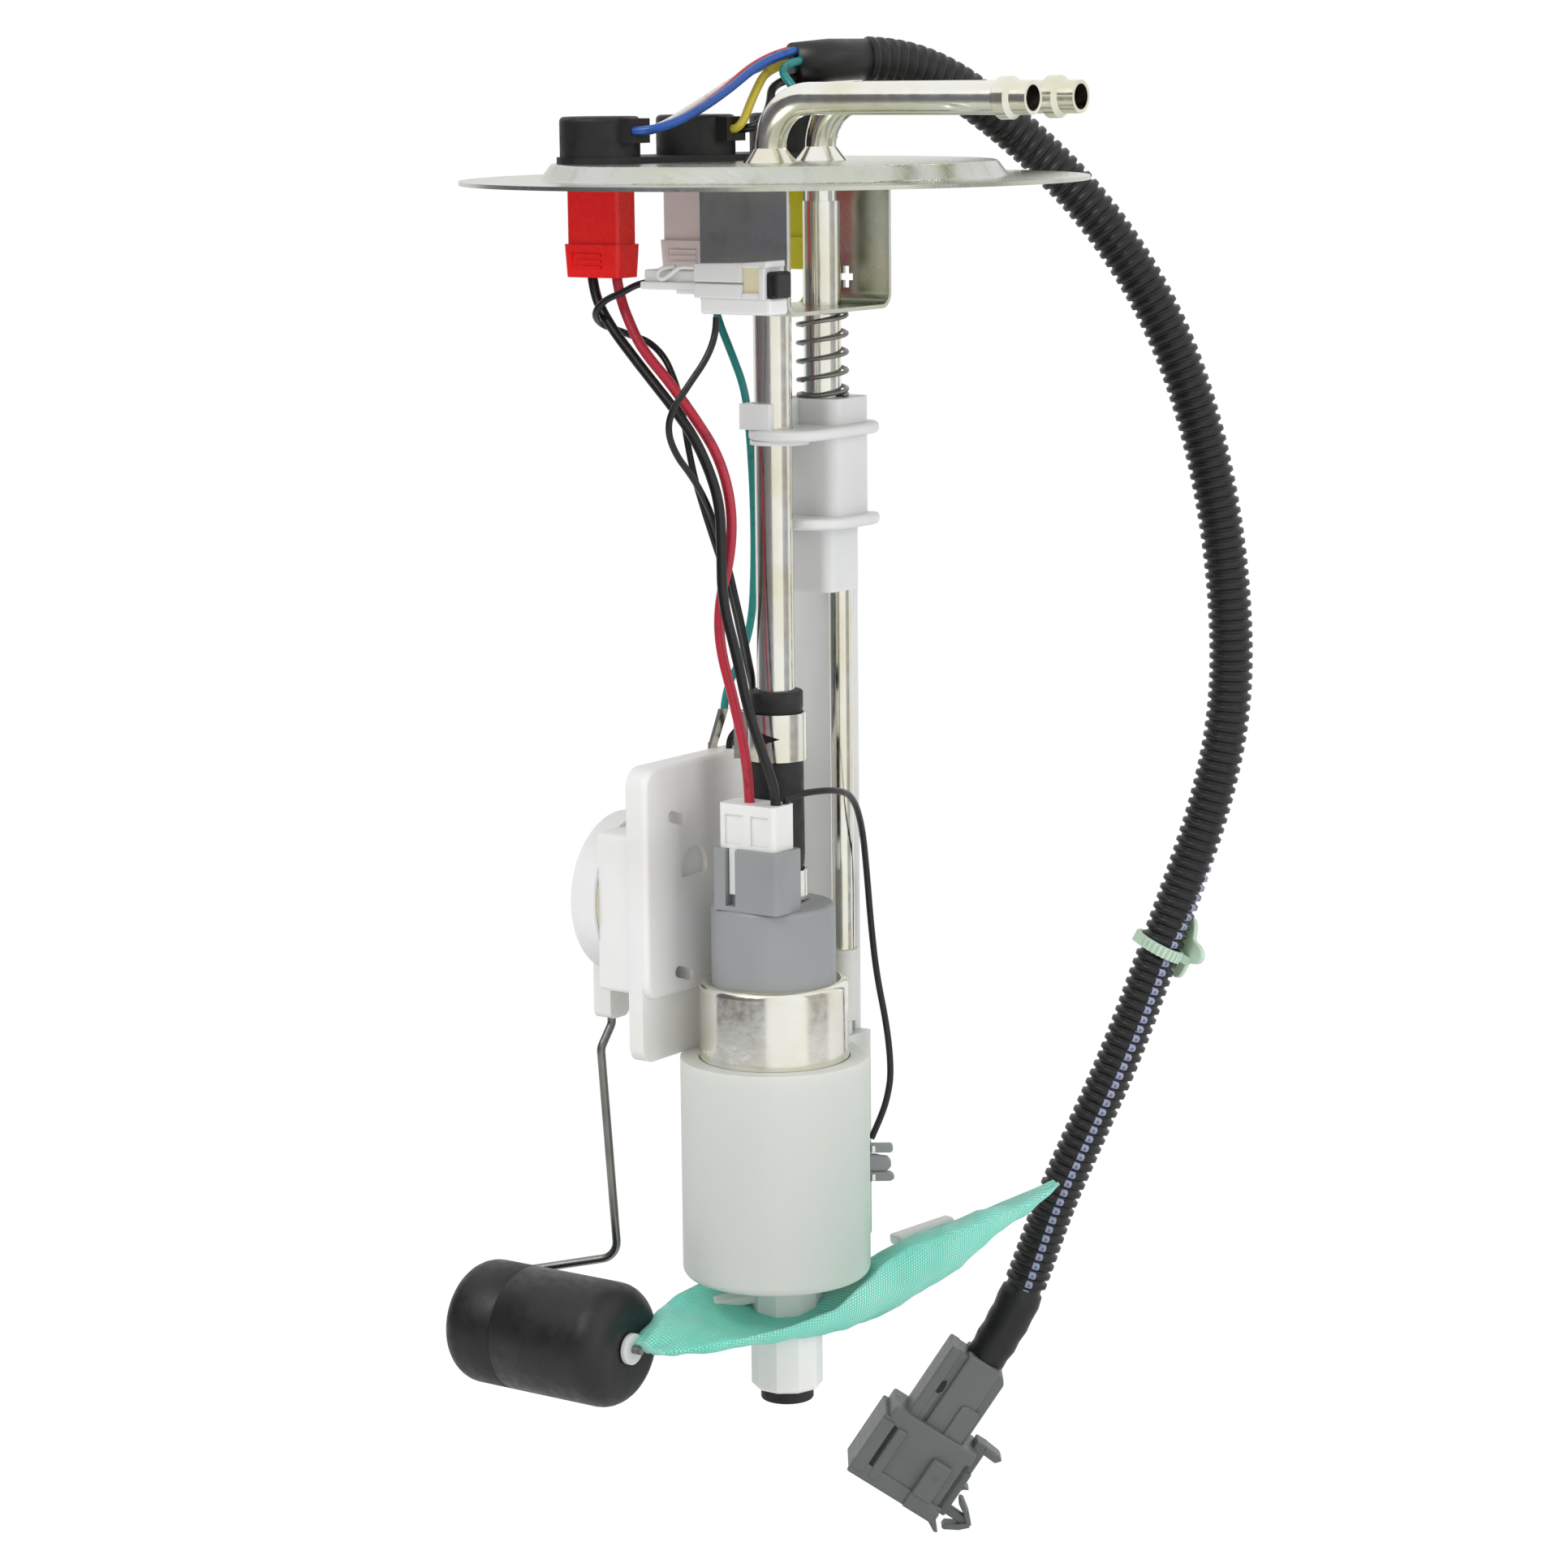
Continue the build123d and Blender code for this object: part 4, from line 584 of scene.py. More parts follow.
# %% Dress the solids
DRESS = {
    "tank_lid": ZINC, "guide_bracket": ZINC,
    "pump_can": PLATED, "return_rod": PLATED, "feed_pipe": PLATED, "return_pipe": PLATED, "feed_tube": PLATED,
    "guide_tube": PLATED, "upper_clamp": PLATED, "lower_clamp": PLATED, "ring_terminal": PLATED,
    "wiper": PLATED, "spring": WIRE_STEEL, "float_arm": WIRE_STEEL, "pump_magnets": IRON, "armature": IRON,
    "grommet_seal": RUBBER, "fuel_hose": RUBBER, "foot_pad": RUBBER, "float": FOAM, "loom": BLACK,
    "connector_red": RED, "connector_yellow": YELLOW, "connector_white": NYLON,
    "inline_plug": NYLON, "inline_socket": NYLON, "slider_collar": CLOUDY, "slide_rail": CLOUDY,
    "pump_cup": CUP, "pump_plug": NYLON, "sender_plate": NYLON, "sender_guard": NYLON, "sender_body": NYLON,
    "arm_holder": NYLON, "float_washer": NYLON, "foot_post": NYLON, "strainer_frame": NYLON,
    "pump_cap": GREY, "pump_base": GREY, "pump_shroud": GREY,
    "level_switch": PLUG_GREY, "harness_connector": PLUG_GREY, "harness_clip": PLUG_GREY,
    "tie_clip": PALE_GREEN, "resistor_card": CARD, "strainer": CARD,
    "wire_black": SLEEVES["black"], "wire_red": SLEEVES["red"], "wire_thin": SLEEVES["black"],
    "wire_signal": SLEEVES["black"], "wire_teal": SLEEVES["green"], "wire_grey": SLEEVES["black"],
}
for name in nodes:
    if name.startswith("top_wire_"):
        DRESS[name] = SLEEVES[name.removeprefix("top_wire_")]


def wear(piece, finish):
    """Gives a piece one finish."""
    piece.data.materials.clear()
    piece.data.materials.append(finish.material)
    return piece


for name, finish in DRESS.items():
    wear(nodes[name], finish)
print("dressed", len(DRESS), "of", len(nodes))

# %% [markdown]
# ## Routes
# A cord lies on a smooth line, so each one starts as a NURBS spline with the cord's own points, in
# millimetres. A plain wire is that spline with a round bevel.


# %% Splines
def spline(name, points, thickness=0.0):
    """A NURBS spline with these control points and this thickness, in millimetres."""
    data = bpy.data.curves.new(name, "CURVE")
    data.dimensions = "3D"
    data.resolution_u = 12
    data.bevel_resolution = 4
    data.bevel_depth = thickness * MM / 2
    data.use_fill_caps = True
    line = data.splines.new("NURBS")
    line.points.add(len(points) - 1)
    for control, at in zip(line.points, points):
        control.co = (*(c * MM for c in at), 1)
    line.order_u = 3
    line.use_endpoint_u = True
    return linked(name, data)


def drawn(curve):
    """The mesh that a spline draws. The spline itself goes."""
    bpy.context.view_layer.update()
    mesh = bpy.data.meshes.new_from_object(curve.evaluated_get(bpy.context.evaluated_depsgraph_get()))
    bpy.data.objects.remove(curve, do_unlink=True)
    return mesh


def read_line(points):
    """The smooth line of a route as a list of points, in metres."""
    mesh = drawn(spline("guide", points))
    line = [vert.co.copy() for vert in mesh.vertices]
    bpy.data.meshes.remove(mesh)
    return line


print("splines ready")

# %% [markdown]
# A ribbed or taped cord is a tube that is drawn along its line ring by ring, so that its radius can change
# on the way. `Route` gives the matrix of each ring, and carries the side of one ring on to the next, so
# that the tube doesn't twist.


# %% Routes
class Route:
    """A line that can be read at any distance along it."""

    def __init__(self, line):
        self.line = line
        self.marks = [0.0]
        for a, b in zip(line, line[1:]):
            self.marks.append(self.marks[-1] + (b - a).length)
        self.length = self.marks[-1]

    def at(self, distance):
        """The point and the direction at a distance."""
        distance = min(max(distance, 0.0), self.length)
        n = max(i for i, mark in enumerate(self.marks[:-1]) if mark <= distance)
        step = self.line[n + 1] - self.line[n]
        return self.line[n] + step * ((distance - self.marks[n]) / step.length), step.normalized()

    def frames(self, distances):
        """A matrix at each distance, whose z runs along the line and which never twists."""
        made = []
        side = None
        for distance in distances:
            point, along = self.at(distance)
            if side is None:
                side = along.orthogonal()
            side = (side - along * side.dot(along)).normalized()
            made.append(axes_at(point, side, along.cross(side), along))
        return made

    def even(self, radius, steps):
        """The profile of a plain tube along the whole line."""
        return [(self.length * n / steps, radius) for n in range(steps + 1)]


print("routes ready")

# %% [markdown]
# `tube` starts with one circle, extrudes it from ring to ring and fills both ends. It also writes numbers at
# the vertices, such as the distance along the line, which a finish can read. `read_row` reads a short table
# between its rows.


# %% New pieces and tubes
def new_piece(name, shape):
    """A bmesh made into a smooth object, with its normals outwards."""
    bmesh.ops.recalc_face_normals(shape, faces=shape.faces)
    for face in shape.faces:
        face.smooth = True
    return from_bmesh(name, shape)


def tube(name, route, profile, segments, toward=None):
    """A closed tube along a route, whose profile lists (distance, radius), in metres.

    Where toward gives the marked side at a point, the attribute facing says how far a vertex is on that side,
    and turn is its angle from it. The attribute along is the distance.
    """
    shape = bmesh.new()
    facing = shape.verts.layers.float.new("facing")
    turn = shape.verts.layers.float.new("turn")
    along = shape.verts.layers.float.new("along")
    ring = bmesh.ops.create_circle(shape, segments=segments, radius=1.0)["verts"]
    frames = route.frames([distance for distance, _ in profile])
    last = Matrix.Identity(4)
    for n, ((distance, radius), place) in enumerate(zip(profile, frames)):
        if n:
            edges = {edge for vert in ring for edge in vert.link_edges if edge.other_vert(vert) in ring}
            ring = new_verts(bmesh.ops.extrude_edge_only(shape, edges=list(edges)))
        target = place @ Matrix.Diagonal((radius, radius, 1.0, 1.0))
        bmesh.ops.transform(shape, matrix=target @ last.inverted(), verts=ring)
        last = target
        for vert in ring:
            vert[along] = distance
            if toward:
                outward = (vert.co - place.translation).normalized()
                axis = place.col[2].to_3d().normalized()
                aim = toward(place.translation)
                aim = (aim - axis * aim.dot(axis)).normalized()
                vert[facing] = outward.dot(aim)
                vert[turn] = math.atan2(outward.dot(axis.cross(aim)), outward.dot(aim))
    bmesh.ops.holes_fill(shape, edges=[edge for edge in shape.edges if edge.is_boundary])
    return new_piece(name, shape)


def read_row(table, x):
    """All columns of a table at x, eased between its rows."""
    for low, high in zip(table, table[1:]):
        if x <= high[0]:
            break
    share = min(max((x - low[0]) / (high[0] - low[0]), 0.0), 1.0)
    share = share * share * (3 - 2 * share) * 0.4 + share * 0.6
    return [one + (two - one) * share for one, two in zip(low[1:], high[1:])]


print("tubes ready")

# %% [markdown]
# ## Harness loom
# The wires outside the tank run in a split corrugated sleeve: a black tube with fine ribs, taped smooth at
# both ends. Ribs are a profile that repeats along the route, four rings to a rib. The tape is a profile
# too, with the small swellings that its layers make.

# %% Loom route and ribs
LOOM_D = 11.6
LOOM_ROUTE = [
    (-8.3, 21.0, 28.9), (0.0, 39.0, 30.7), (9.9, 58.0, 27.0), (21.1, 75.6, 13.3), (34.7, 89.9, -4.8),
    (45.9, 100.1, -25.1), (54.3, 107.2, -46.6), (60.1, 112.4, -70.4), (64.3, 115.4, -96.4),
    (66.3, 116.7, -122.6), (65.9, 116.4, -144.5), (62.4, 114.0, -166.6), (57.1, 109.1, -188.6),
    (50.5, 104.6, -210.9), (43.9, 98.7, -235.4), (35.8, 93.1, -258.0), (28.5, 88.0, -278.4),
    (23.0, 84.3, -298.0), (18.2, 80.9, -312.6), (11.8, 76.5, -324.4),
]
CREST = LOOM_D * MM / 2
RIB = 2.75 * MM
VALLEY = CREST - 0.95 * MM
RIB_SHAPE = ((0.0, VALLEY), (0.18, CREST), (0.56, CREST), (0.74, VALLEY))
TAPE_TOP = 21 * MM
TAPE_END = 25 * MM
TAPE_SEAM = 0.5 * MM
FIRST_RIB = TAPE_TOP + 0.3 * MM
TAPE_SWELL = (
    (0.0, 0.84), (0.03, 0.98), (0.15, 1.04), (0.3, 0.99), (0.42, 1.03), (0.55, 0.97), (0.68, 1.02),
    (0.8, 0.94), (0.9, 0.97), (0.97, 0.9), (1.0, 0.84),
)

loom_route = Route(read_line(LOOM_ROUTE))
profile = [(0.0, CREST * 0.90), (TAPE_TOP * 0.5, CREST * 0.93), (TAPE_TOP, CREST * 0.90)]
ribs = int((loom_route.length - TAPE_TOP - TAPE_END) / RIB)
for n in range(ribs):
    profile += [(FIRST_RIB + (n + share) * RIB, radius) for share, radius in RIB_SHAPE]
for share, swell in TAPE_SWELL:
    profile.append((loom_route.length - (TAPE_END - TAPE_SEAM) * (1 - share), CREST * swell))
print("loom", round(loom_route.length * 1000), "mm long,", ribs, "ribs")

# %% [markdown]
# A broken line of small pale marks runs along one side of the sleeve. It faces the viewer low down and
# winds round to the back further up, so a short table gives its bearing, in degrees, at each height.

# %% Loom
MARK_TURN = [(-0.40, 0.0), (-0.28, 3.0), (-0.21, 24.0), (-0.19, 60.0), (-0.16, 130.0), (0.10, 170.0)]
LOOM_SEGMENTS = 28


def marked_side(at):
    """The side of the loom with the marks on it, at a point of its route."""
    (bearing,) = read_row(MARK_TURN, at.z)
    return eye_right * math.sin(math.radians(bearing)) - eye_away * math.cos(math.radians(bearing))


loom = tube("harness_loom", loom_route, profile, LOOM_SEGMENTS, marked_side)
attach(loom, "lid_unit")
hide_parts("loom")
print("loom", len(loom.data.polygons), "faces")

# %% [markdown]
# The marks are worked out from the tube's attributes, one to each rib: a square round the rib's middle,
# less a worn centre, broken by noise. A formula keeps them on the ribs however the route is bent.


# %% Loom finish
MARK_HALF = 0.98 * MM
MARK_WORN = (0.30 * MM, 0.50 * MM)
RIB_MIDDLE = 0.37


def loom_plastic():
    """Black sleeve with a broken line of small pale marks along it."""
    finish = Finish("loom sleeve")
    along = finish.attribute("along")
    across = (finish.attribute("turn") * CREST).math("ABSOLUTE")
    step = (((along - FIRST_RIB) / RIB).math("FRACT") - RIB_MIDDLE).math("ABSOLUTE") * RIB
    reach = across.math("MAXIMUM", step)
    square = 1 - (reach > MARK_HALF)
    centre = 1 - finish.between(*MARK_WORN, reach)
    ribbed = (along > TAPE_TOP) * (1 - (along > loom_route.length - TAPE_END))
    broken = finish.between(0.28, 0.36, finish.noise(420.0, 3.0))
    marks = square * (1 - centre * 0.6) * ribbed * (finish.attribute("facing") > 0.5) * broken
    plain = finish.blend(rgb(0.065, 0.06, 0.065), rgb(0.04, 0.035, 0.04), finish.noise(30.0, 3.0))
    finish.drive("Base Color", finish.blend(plain, rgb(0.62, 0.65, 0.78), marks * 0.9))
    finish.drive("Roughness", finish.between(0.3, 0.7, finish.noise(350.0), 0.32, 0.48))
    return finish


wear(loom, loom_plastic())
print("loom dressed")

# %% [markdown]
# ## Wires over the lid
# Six sleeved wires come out of the grommets and run together into the loom's mouth. They are the plainest
# cords: a spline with a round bevel. The table gives each one's grommet in the row of three, how far it
# sits from the grommet's middle, how far it runs straight, the points it goes by, and its place in the
# mouth.

# %% Top wires
TOP_WIRE_D = 2.2
GROMMET_X = -24.0
GROMMET_PITCH = 29.4
GROMMET_ROW = math.radians(72.0)
NECK_FACE = 12.5
NECK_Z = 13.0
IN_MOUTH = 4
STRAIGHT = 11
TOP_WIRES = [
    ("blue", -1, -2.6, 8.1, [(-10.5, -10.0, 20.0)], (1.6, 3.3)),
    ("red", -1, 0.0, 5.5, [(-13.0, -9.5, 19.0)], (-1.2, 3.4)),
    ("white", -1, 2.6, 2.9, [(-16.0, -8.5, 19.5)], (-3.4, 1.2)),
    ("yellow", 0, -1.6, 2.6, [(-9.8, 5.0, 21.0)], (-0.2, 0.4)),
    ("black", 0, 1.6, 5.5, [(-6.3, 7.5, 18.0)], (0.4, -3.4)),
    ("green", 1, 0.0, 3.5, [(3.2, 21.0, 13.5), (3.6, 14.5, 17.5), (-0.5, 9.5, 22.5)], (3.4, 0.8)),
]

mouth = Vector(LOOM_ROUTE[0])
mouth_along = (Vector(LOOM_ROUTE[1]) - mouth).normalized()
mouth_side = mouth_along.cross(UP).normalized()
mouth_rise = mouth_side.cross(mouth_along)
for colour, grommet, shift, run, mids, (side, rise) in TOP_WIRES:
    x = GROMMET_X + grommet * GROMMET_PITCH * math.cos(GROMMET_ROW)
    y = grommet * GROMMET_PITCH * math.sin(GROMMET_ROW)
    start = Vector((x + NECK_FACE, y + shift, NECK_Z))
    end = mouth + mouth_side * side + mouth_rise * rise + mouth_along * IN_MOUTH
    points = [start, start + Vector((run, 0, 0)), *mids, end - mouth_along * STRAIGHT, end]
    wire = wear(spline("wire_top_" + colour, points, TOP_WIRE_D), SLEEVES[colour])
    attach(wire, "lid_unit")
    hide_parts("top_wire_" + colour)
    length = Route(read_line(points)).length
    print(colour, "wire", round(length * 1000, 1), "mm")

# %% [markdown]
# ## Wires to the pump
# Five wires leave the lid's underside and the plugs there, and go down to the pump and the sender. The
# lower half slides, so these must follow both halves, which a curve can't. Each is made a mesh and
# stays in place.

# %% Lower wires
LOWER_WIRES = {
    "wire_black": ("black", 2.6, [
        (-36.5, -28.0, -17.2), (-36.3, -28.1, -25.5), (-30.6, -29.6, -34.0), (-20.5, -28.9, -45.2),
        (-11.2, -28.5, -54.8), (-5.6, -27.6, -62.0), (-1.2, -27.0, -70.9), (1.1, -26.6, -78.9),
        (1.7, -27.1, -88.7), (2.9, -28.7, -101.9), (7.1, -28.7, -115.2), (10.3, -28.5, -129.2),
        (15.0, -26.5, -144.0), (15.6, -24.6, -150.0), (15.6, -24.6, -156.0)]),
    "wire_red": ("red", 2.6, [
        (-29.0, -28.0, -17.2), (-28.8, -28.0, -25.5), (-22.5, -29.0, -37.3), (-18.6, -28.7, -42.4),
        (-13.8, -27.6, -47.7), (-7.4, -25.3, -56.9), (-1.6, -23.0, -66.6), (1.5, -22.1, -78.5),
        (1.8, -23.1, -90.7), (-0.2, -25.7, -102.5), (0.6, -27.0, -113.2), (4.5, -27.0, -125.7),
        (7.2, -26.0, -139.0), (7.6, -24.6, -149.0), (7.6, -24.6, -156.0)]),
    "wire_thin": ("black", 1.7, [
        (-13.0, -34.0, -23.4), (-17.0, -34.0, -23.8), (-23.4, -33.3, -26.6), (-27.7, -33.9, -28.1),
        (-31.9, -33.5, -31.7), (-34.5, -27.1, -34.9), (-31.5, -24.4, -36.2), (-29.0, -22.0, -37.7),
        (-24.2, -21.1, -39.0), (-18.8, -21.6, -42.8), (-15.4, -22.3, -48.3), (-13.1, -23.1, -53.0),
        (-10.9, -24.6, -58.7), (-9.5, -25.1, -64.4), (-7.9, -24.7, -72.4), (-6.2, -23.1, -80.6),
        (-4.0, -20.8, -90.8), (-2.2, -17.6, -101.3), (-2.8, -13.5, -111.0), (-3.8, -9.4, -119.2),
        (-4.7, -5.1, -127.7), (-7.5, 1.5, -137.0), (-13.5, 2.0, -140.0), (-15.5, 2.0, -142.0),
        (-15.5, 2.0, -143.8)]),
    "wire_signal": ("black", 1.7, [
        (6.0, -34.0, -31.5), (6.0, -34.0, -35.0), (5.5, -37.0, -41.1), (2.1, -40.6, -47.9),
        (-1.3, -43.5, -54.5), (-2.4, -43.1, -59.7), (-2.2, -39.9, -65.3), (-1.7, -35.3, -69.8),
        (-2.0, -30.8, -74.2), (-2.4, -26.6, -79.1), (-2.4, -24.3, -83.3), (-1.8, -22.8, -88.1),
        (-0.5, -20.9, -94.7), (0.1, -19.2, -102.0), (-0.5, -15.6, -109.6), (-1.5, -12.0, -117.3),
        (-2.6, -7.7, -126.1), (-7.0, -4.0, -135.5), (-12.0, -2.6, -139.0), (-14.2, -2.6, -141.5),
        (-14.2, -2.6, -143.8)]),
    "wire_teal": ("green", 2.0, [
        (-20.0, 0.0, -17.2), (-20.0, 0.0, -25.5), (-18.0, -0.3, -34.0), (-13.5, -0.4, -43.0),
        (-9.6, -0.2, -52.0), (-8.4, 0.0, -63.0), (-7.7, 0.4, -80.0), (-7.6, 0.2, -97.0),
        (-8.2, -0.3, -111.0), (-11.4, -1.3, -121.5), (-14.2, -3.5, -128.0), (-14.6, -4.0, -133.3)]),
}


for name, (colour, thickness, points) in LOWER_WIRES.items():
    title = "sleeve_of_" + name
    lead = linked(title, drawn(spline(title, points, thickness)))
    for polygon in lead.data.polygons:
        polygon.use_smooth = True
    wear(lead, SLEEVES[colour])
    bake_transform(lead)
    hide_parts(name)
print("lower wires:", len(LOWER_WIRES))

# %% [markdown]
# The level switch's wire stays on the carriage from end to end, so it can stay a curve.

# %% Switch wire
SWITCH_ROUTE = [
    (16.7, -22.0, -152.5), (16.7, -22.0, -151.3), (18.2, -20.0, -150.5), (20.5, -16.0, -150.0),
    (22.5, -8.0, -150.5), (19.8, 3.5, -154.0), (15.2, 14.5, -164.0), (11.8, 21.6, -178.0),
    (12.4, 22.2, -190.0), (14.5, 21.6, -204.0), (18.4, 20.6, -217.5), (20.3, 19.6, -229.0),
    (20.0, 18.2, -235.5), (18.6, 17.0, -241.0), (16.6, 15.6, -246.4),
]
SWITCH_WIRE_D = 1.7
switch_lead = wear(spline("switch_lead", SWITCH_ROUTE, SWITCH_WIRE_D), SLEEVES["black"])
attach(switch_lead, "carriage")
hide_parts("wire_grey")
print("switch wire made")

# %% [markdown]
# ## Spring
# The coil spring sits on the guide tube between the bracket and the slider, and closes up as the lower half
# rises. It is a tube along a helix, with a closed, flat turn at each end.

# %% Coil spring
GUIDE = Vector((6.5, 11.0, 0.0)) * MM
SPRING_TOP = -32.0 * MM
SPRING_END = -54.0 * MM
COIL_R = 6.2 * MM
COIL_WIRE_R = 0.55 * MM
ACTIVE_TURNS = 4.5
FLAT_TURNS = 0.8
STEPS_A_TURN = 28
COIL_RINGS = 360
COIL_SEGMENTS = 10

coil_line = []
turns = ACTIVE_TURNS + 2 * FLAT_TURNS
for n in range(int(turns * STEPS_A_TURN) + 1):
    turn = n / STEPS_A_TURN
    share = min(max((turn - FLAT_TURNS) / ACTIVE_TURNS, 0.0), 1.0)
    height = SPRING_END + COIL_WIRE_R + share * (SPRING_TOP - SPRING_END - 2 * COIL_WIRE_R)
    angle = 2 * math.pi * turn
    coil_line.append(GUIDE + Vector((COIL_R * math.cos(angle), COIL_R * math.sin(angle), height)))
coil_route = Route(coil_line)
coil = tube("coil_spring", coil_route, coil_route.even(COIL_WIRE_R, COIL_RINGS), COIL_SEGMENTS)
wear(coil, WIRE_STEEL)
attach(coil, "lid_unit")
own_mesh(coil)
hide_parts("spring")
print("spring:", round(turns, 1), "turns")

# %% [markdown]
# ## Fuel hose
# A short black hose joins the feed tube to the pump's outlet. It has a moulded surface and a clean cut end,
# is pressed in a little under each of its clamps and swells just above the lower one. Half its section,
# turned about its middle, makes it. It crosses the slide and stays in place.


# %% Hose
MERGE = 0.002 * MM


def turned_piece(name, section, axis, middle, steps):
    """A closed section turned a full circle about an axis through the origin, then moved to its middle."""
    shape = bmesh.new()
    verts = [shape.verts.new(corner) for corner in section]
    edges = [shape.edges.new(pair) for pair in zip(verts, verts[1:] + verts[:1])]
    bmesh.ops.spin(
        shape, geom=verts + edges, cent=(0, 0, 0), axis=axis, angle=2 * math.pi,
        steps=steps, use_merge=True, use_duplicate=False)
    bmesh.ops.remove_doubles(shape, verts=shape.verts, dist=MERGE)
    bmesh.ops.translate(shape, verts=shape.verts, vec=middle)
    return new_piece(name, shape)


HOSE_AT = Vector((6.5, -11.0, 0.0)) * MM
HOSE_TOP = -126.0
HOSE_END = -179.4
HOSE_R = 6.75
BORE_R = 4.85
PRESSED_R = HOSE_R - 0.35
SWOLLEN_R = HOSE_R + 0.15
HOSE_STEPS = 48
HOSE_SECTION = [
    (BORE_R, HOSE_END), (HOSE_R - 0.3, HOSE_END), (HOSE_R, HOSE_END + 0.3), (HOSE_R, HOSE_END + 0.35),
    (PRESSED_R, -178.2), (PRESSED_R, -171.9), (HOSE_R, -170.1), (SWOLLEN_R, -167.5),
    (HOSE_R, -144.7), (PRESSED_R, -142.7), (PRESSED_R, -131.9), (HOSE_R, -130.1),
    (HOSE_R, HOSE_TOP - 0.4), (HOSE_R - 0.4, HOSE_TOP), (BORE_R, HOSE_TOP),
]

section = [(radius * MM, 0, height * MM) for radius, height in HOSE_SECTION]
hose = wear(turned_piece("feed_hose", section, (0, 0, 1), HOSE_AT, HOSE_STEPS), RUBBER)
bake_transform(hose)
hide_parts("fuel_hose")
print("hose", round(HOSE_TOP - HOSE_END, 1), "mm long")

# %% [markdown]
# ## Strainer
# The strainer is a fat sock of woven mint mesh, welded shut round its edge. A short table gives, along its
# length, the half width, how far the near and the far weld lift off the flat, the rise of the upper sheet
# and the sag of the lower one, which is less at the far weld. So the sock lies flat at its left end, dips
# under the pump and curls up to a point at its right. Soft noise adds creases and finer puckers. Its own
# axes are the heading along it, sideways across it and up.

# %% Sock profile
FOOT = Vector((7.0, -10.0, -289.5)) * MM
HEADING = math.radians(72.2)
CLIMB = math.radians(9.0)
LEAF = [
    (-43.0, 6.5, 7.4, 6.6, 0.8, 1.6), (-38.0, 10.0, 7.2, 7.8, 1.0, 3.2), (-30.0, 13.2, 6.8, 9.6, 0.2, 4.0),
    (-22.0, 15.2, 6.4, 10.6, -1.2, 4.6), (-12.0, 17.5, 6.0, 10.0, -3.0, 5.6),
    (2.0, 19.0, 6.2, 6.0, -3.5, 8.0), (12.0, 19.0, 9.8, 1.0, -3.0, 14.0),
    (20.0, 18.6, 12.6, -3.5, -0.5, 19.5), (30.0, 17.6, 12.8, -4.0, 1.2, 20.5),
    (40.0, 16.4, 11.3, -3.0, 2.0, 17.5), (58.0, 13.4, 9.2, -0.4, 1.8, 11.5),
    (75.0, 9.5, 7.0, 1.2, 1.0, 4.6), (86.0, 6.3, 5.8, 3.0, 0.6, 1.6), (93.5, 2.2, 5.0, 4.8, 0.1, 0.1),
]
FULLNESS = 2.6
FAR_SAG = 0.45
CREASE = 1.6
PUCKER = 0.5

heading = Vector((math.cos(HEADING) * math.cos(CLIMB), math.sin(HEADING) * math.cos(CLIMB), math.sin(CLIMB)))
sideways = Vector((math.sin(HEADING), -math.cos(HEADING), 0.0))
sock_up = sideways.cross(heading)


def sheet_point(u, v, side):
    """A point of the sock. u and v run from -1 to 1. side is +1 for the upper sheet, -1 for the lower."""
    x = LEAF[0][0] + (LEAF[-1][0] - LEAF[0][0]) * (u + 1) / 2
    half, near, far, top, sag = read_row(LEAF, x)
    near_share = (v + 1) / 2
    weld = far + (near - far) * near_share * near_share * (3 - 2 * near_share)
    fat = math.sqrt(max(1 - abs(v) ** FULLNESS, 0.0))
    crease = noise.noise(Vector((x * 0.07, v * 1.6, 3.0 + side))) * CREASE
    pucker = noise.noise(Vector((x * 0.24 + v * 2, v * 3.0, 9.0 + side))) * PUCKER
    bulge = top if side > 0 else min(top, 0.0) - sag * (FAR_SAG + (1 - FAR_SAG) * near_share)
    return Vector((x, v * half, weld + (bulge + crease + pucker) * fat)) * MM


print("sock:", len(LEAF), "stations")

# %% [markdown]
# Each sheet is a grid whose points move to the sock's surface. Two attributes carry how far a point is
# along the sock and how far across it on the sheet itself, because the weave follows the sheet.

# %% Sock
ALONG_FACES = 120
ACROSS_FACES = 40
WELD_MERGE = 0.02 * MM

shape = bmesh.new()
lengthwise = shape.verts.layers.float.new("lengthwise")
crosswise = shape.verts.layers.float.new("crosswise")
for side in (1, -1):
    sheet = bmesh.ops.create_grid(shape, x_segments=ALONG_FACES, y_segments=ACROSS_FACES, size=1.0)["verts"]
    columns = {}
    for vert in sheet:
        columns.setdefault(round(vert.co.x, 4), []).append(vert)
    for column in columns.values():
        column.sort(key=lambda vert: vert.co.y)
        walked, before = 0.0, None
        for vert in column:
            vert.co = sheet_point(vert.co.x, math.sin(vert.co.y * math.pi / 2), side)
            walked += (vert.co - before).length if before else 0.0
            before = vert.co.copy()
            vert[lengthwise] = vert.co.x
            vert[crosswise] = walked
        for vert in column:
            vert[crosswise] -= walked / 2
bmesh.ops.remove_doubles(shape, verts=[vert for vert in shape.verts if vert.is_boundary], dist=WELD_MERGE)
bmesh.ops.holes_fill(shape, edges=[edge for edge in shape.edges if edge.is_boundary])
bmesh.ops.transform(shape, matrix=axes_at(FOOT, heading, sideways, sock_up), verts=shape.verts)
sock = new_piece("strainer_sock", shape)
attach(sock, "carriage")
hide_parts("strainer")
print("sock", len(sock.data.polygons), "faces")

# %% [markdown]
# The weave is two waves that cross at right angles. Where their product is high there is a pore, and pores
# show pale where the sheet lies loose.


# %% Woven mesh
WEAVE = 1.7 * MM
THREAD_DEPTH = 0.16 * MM


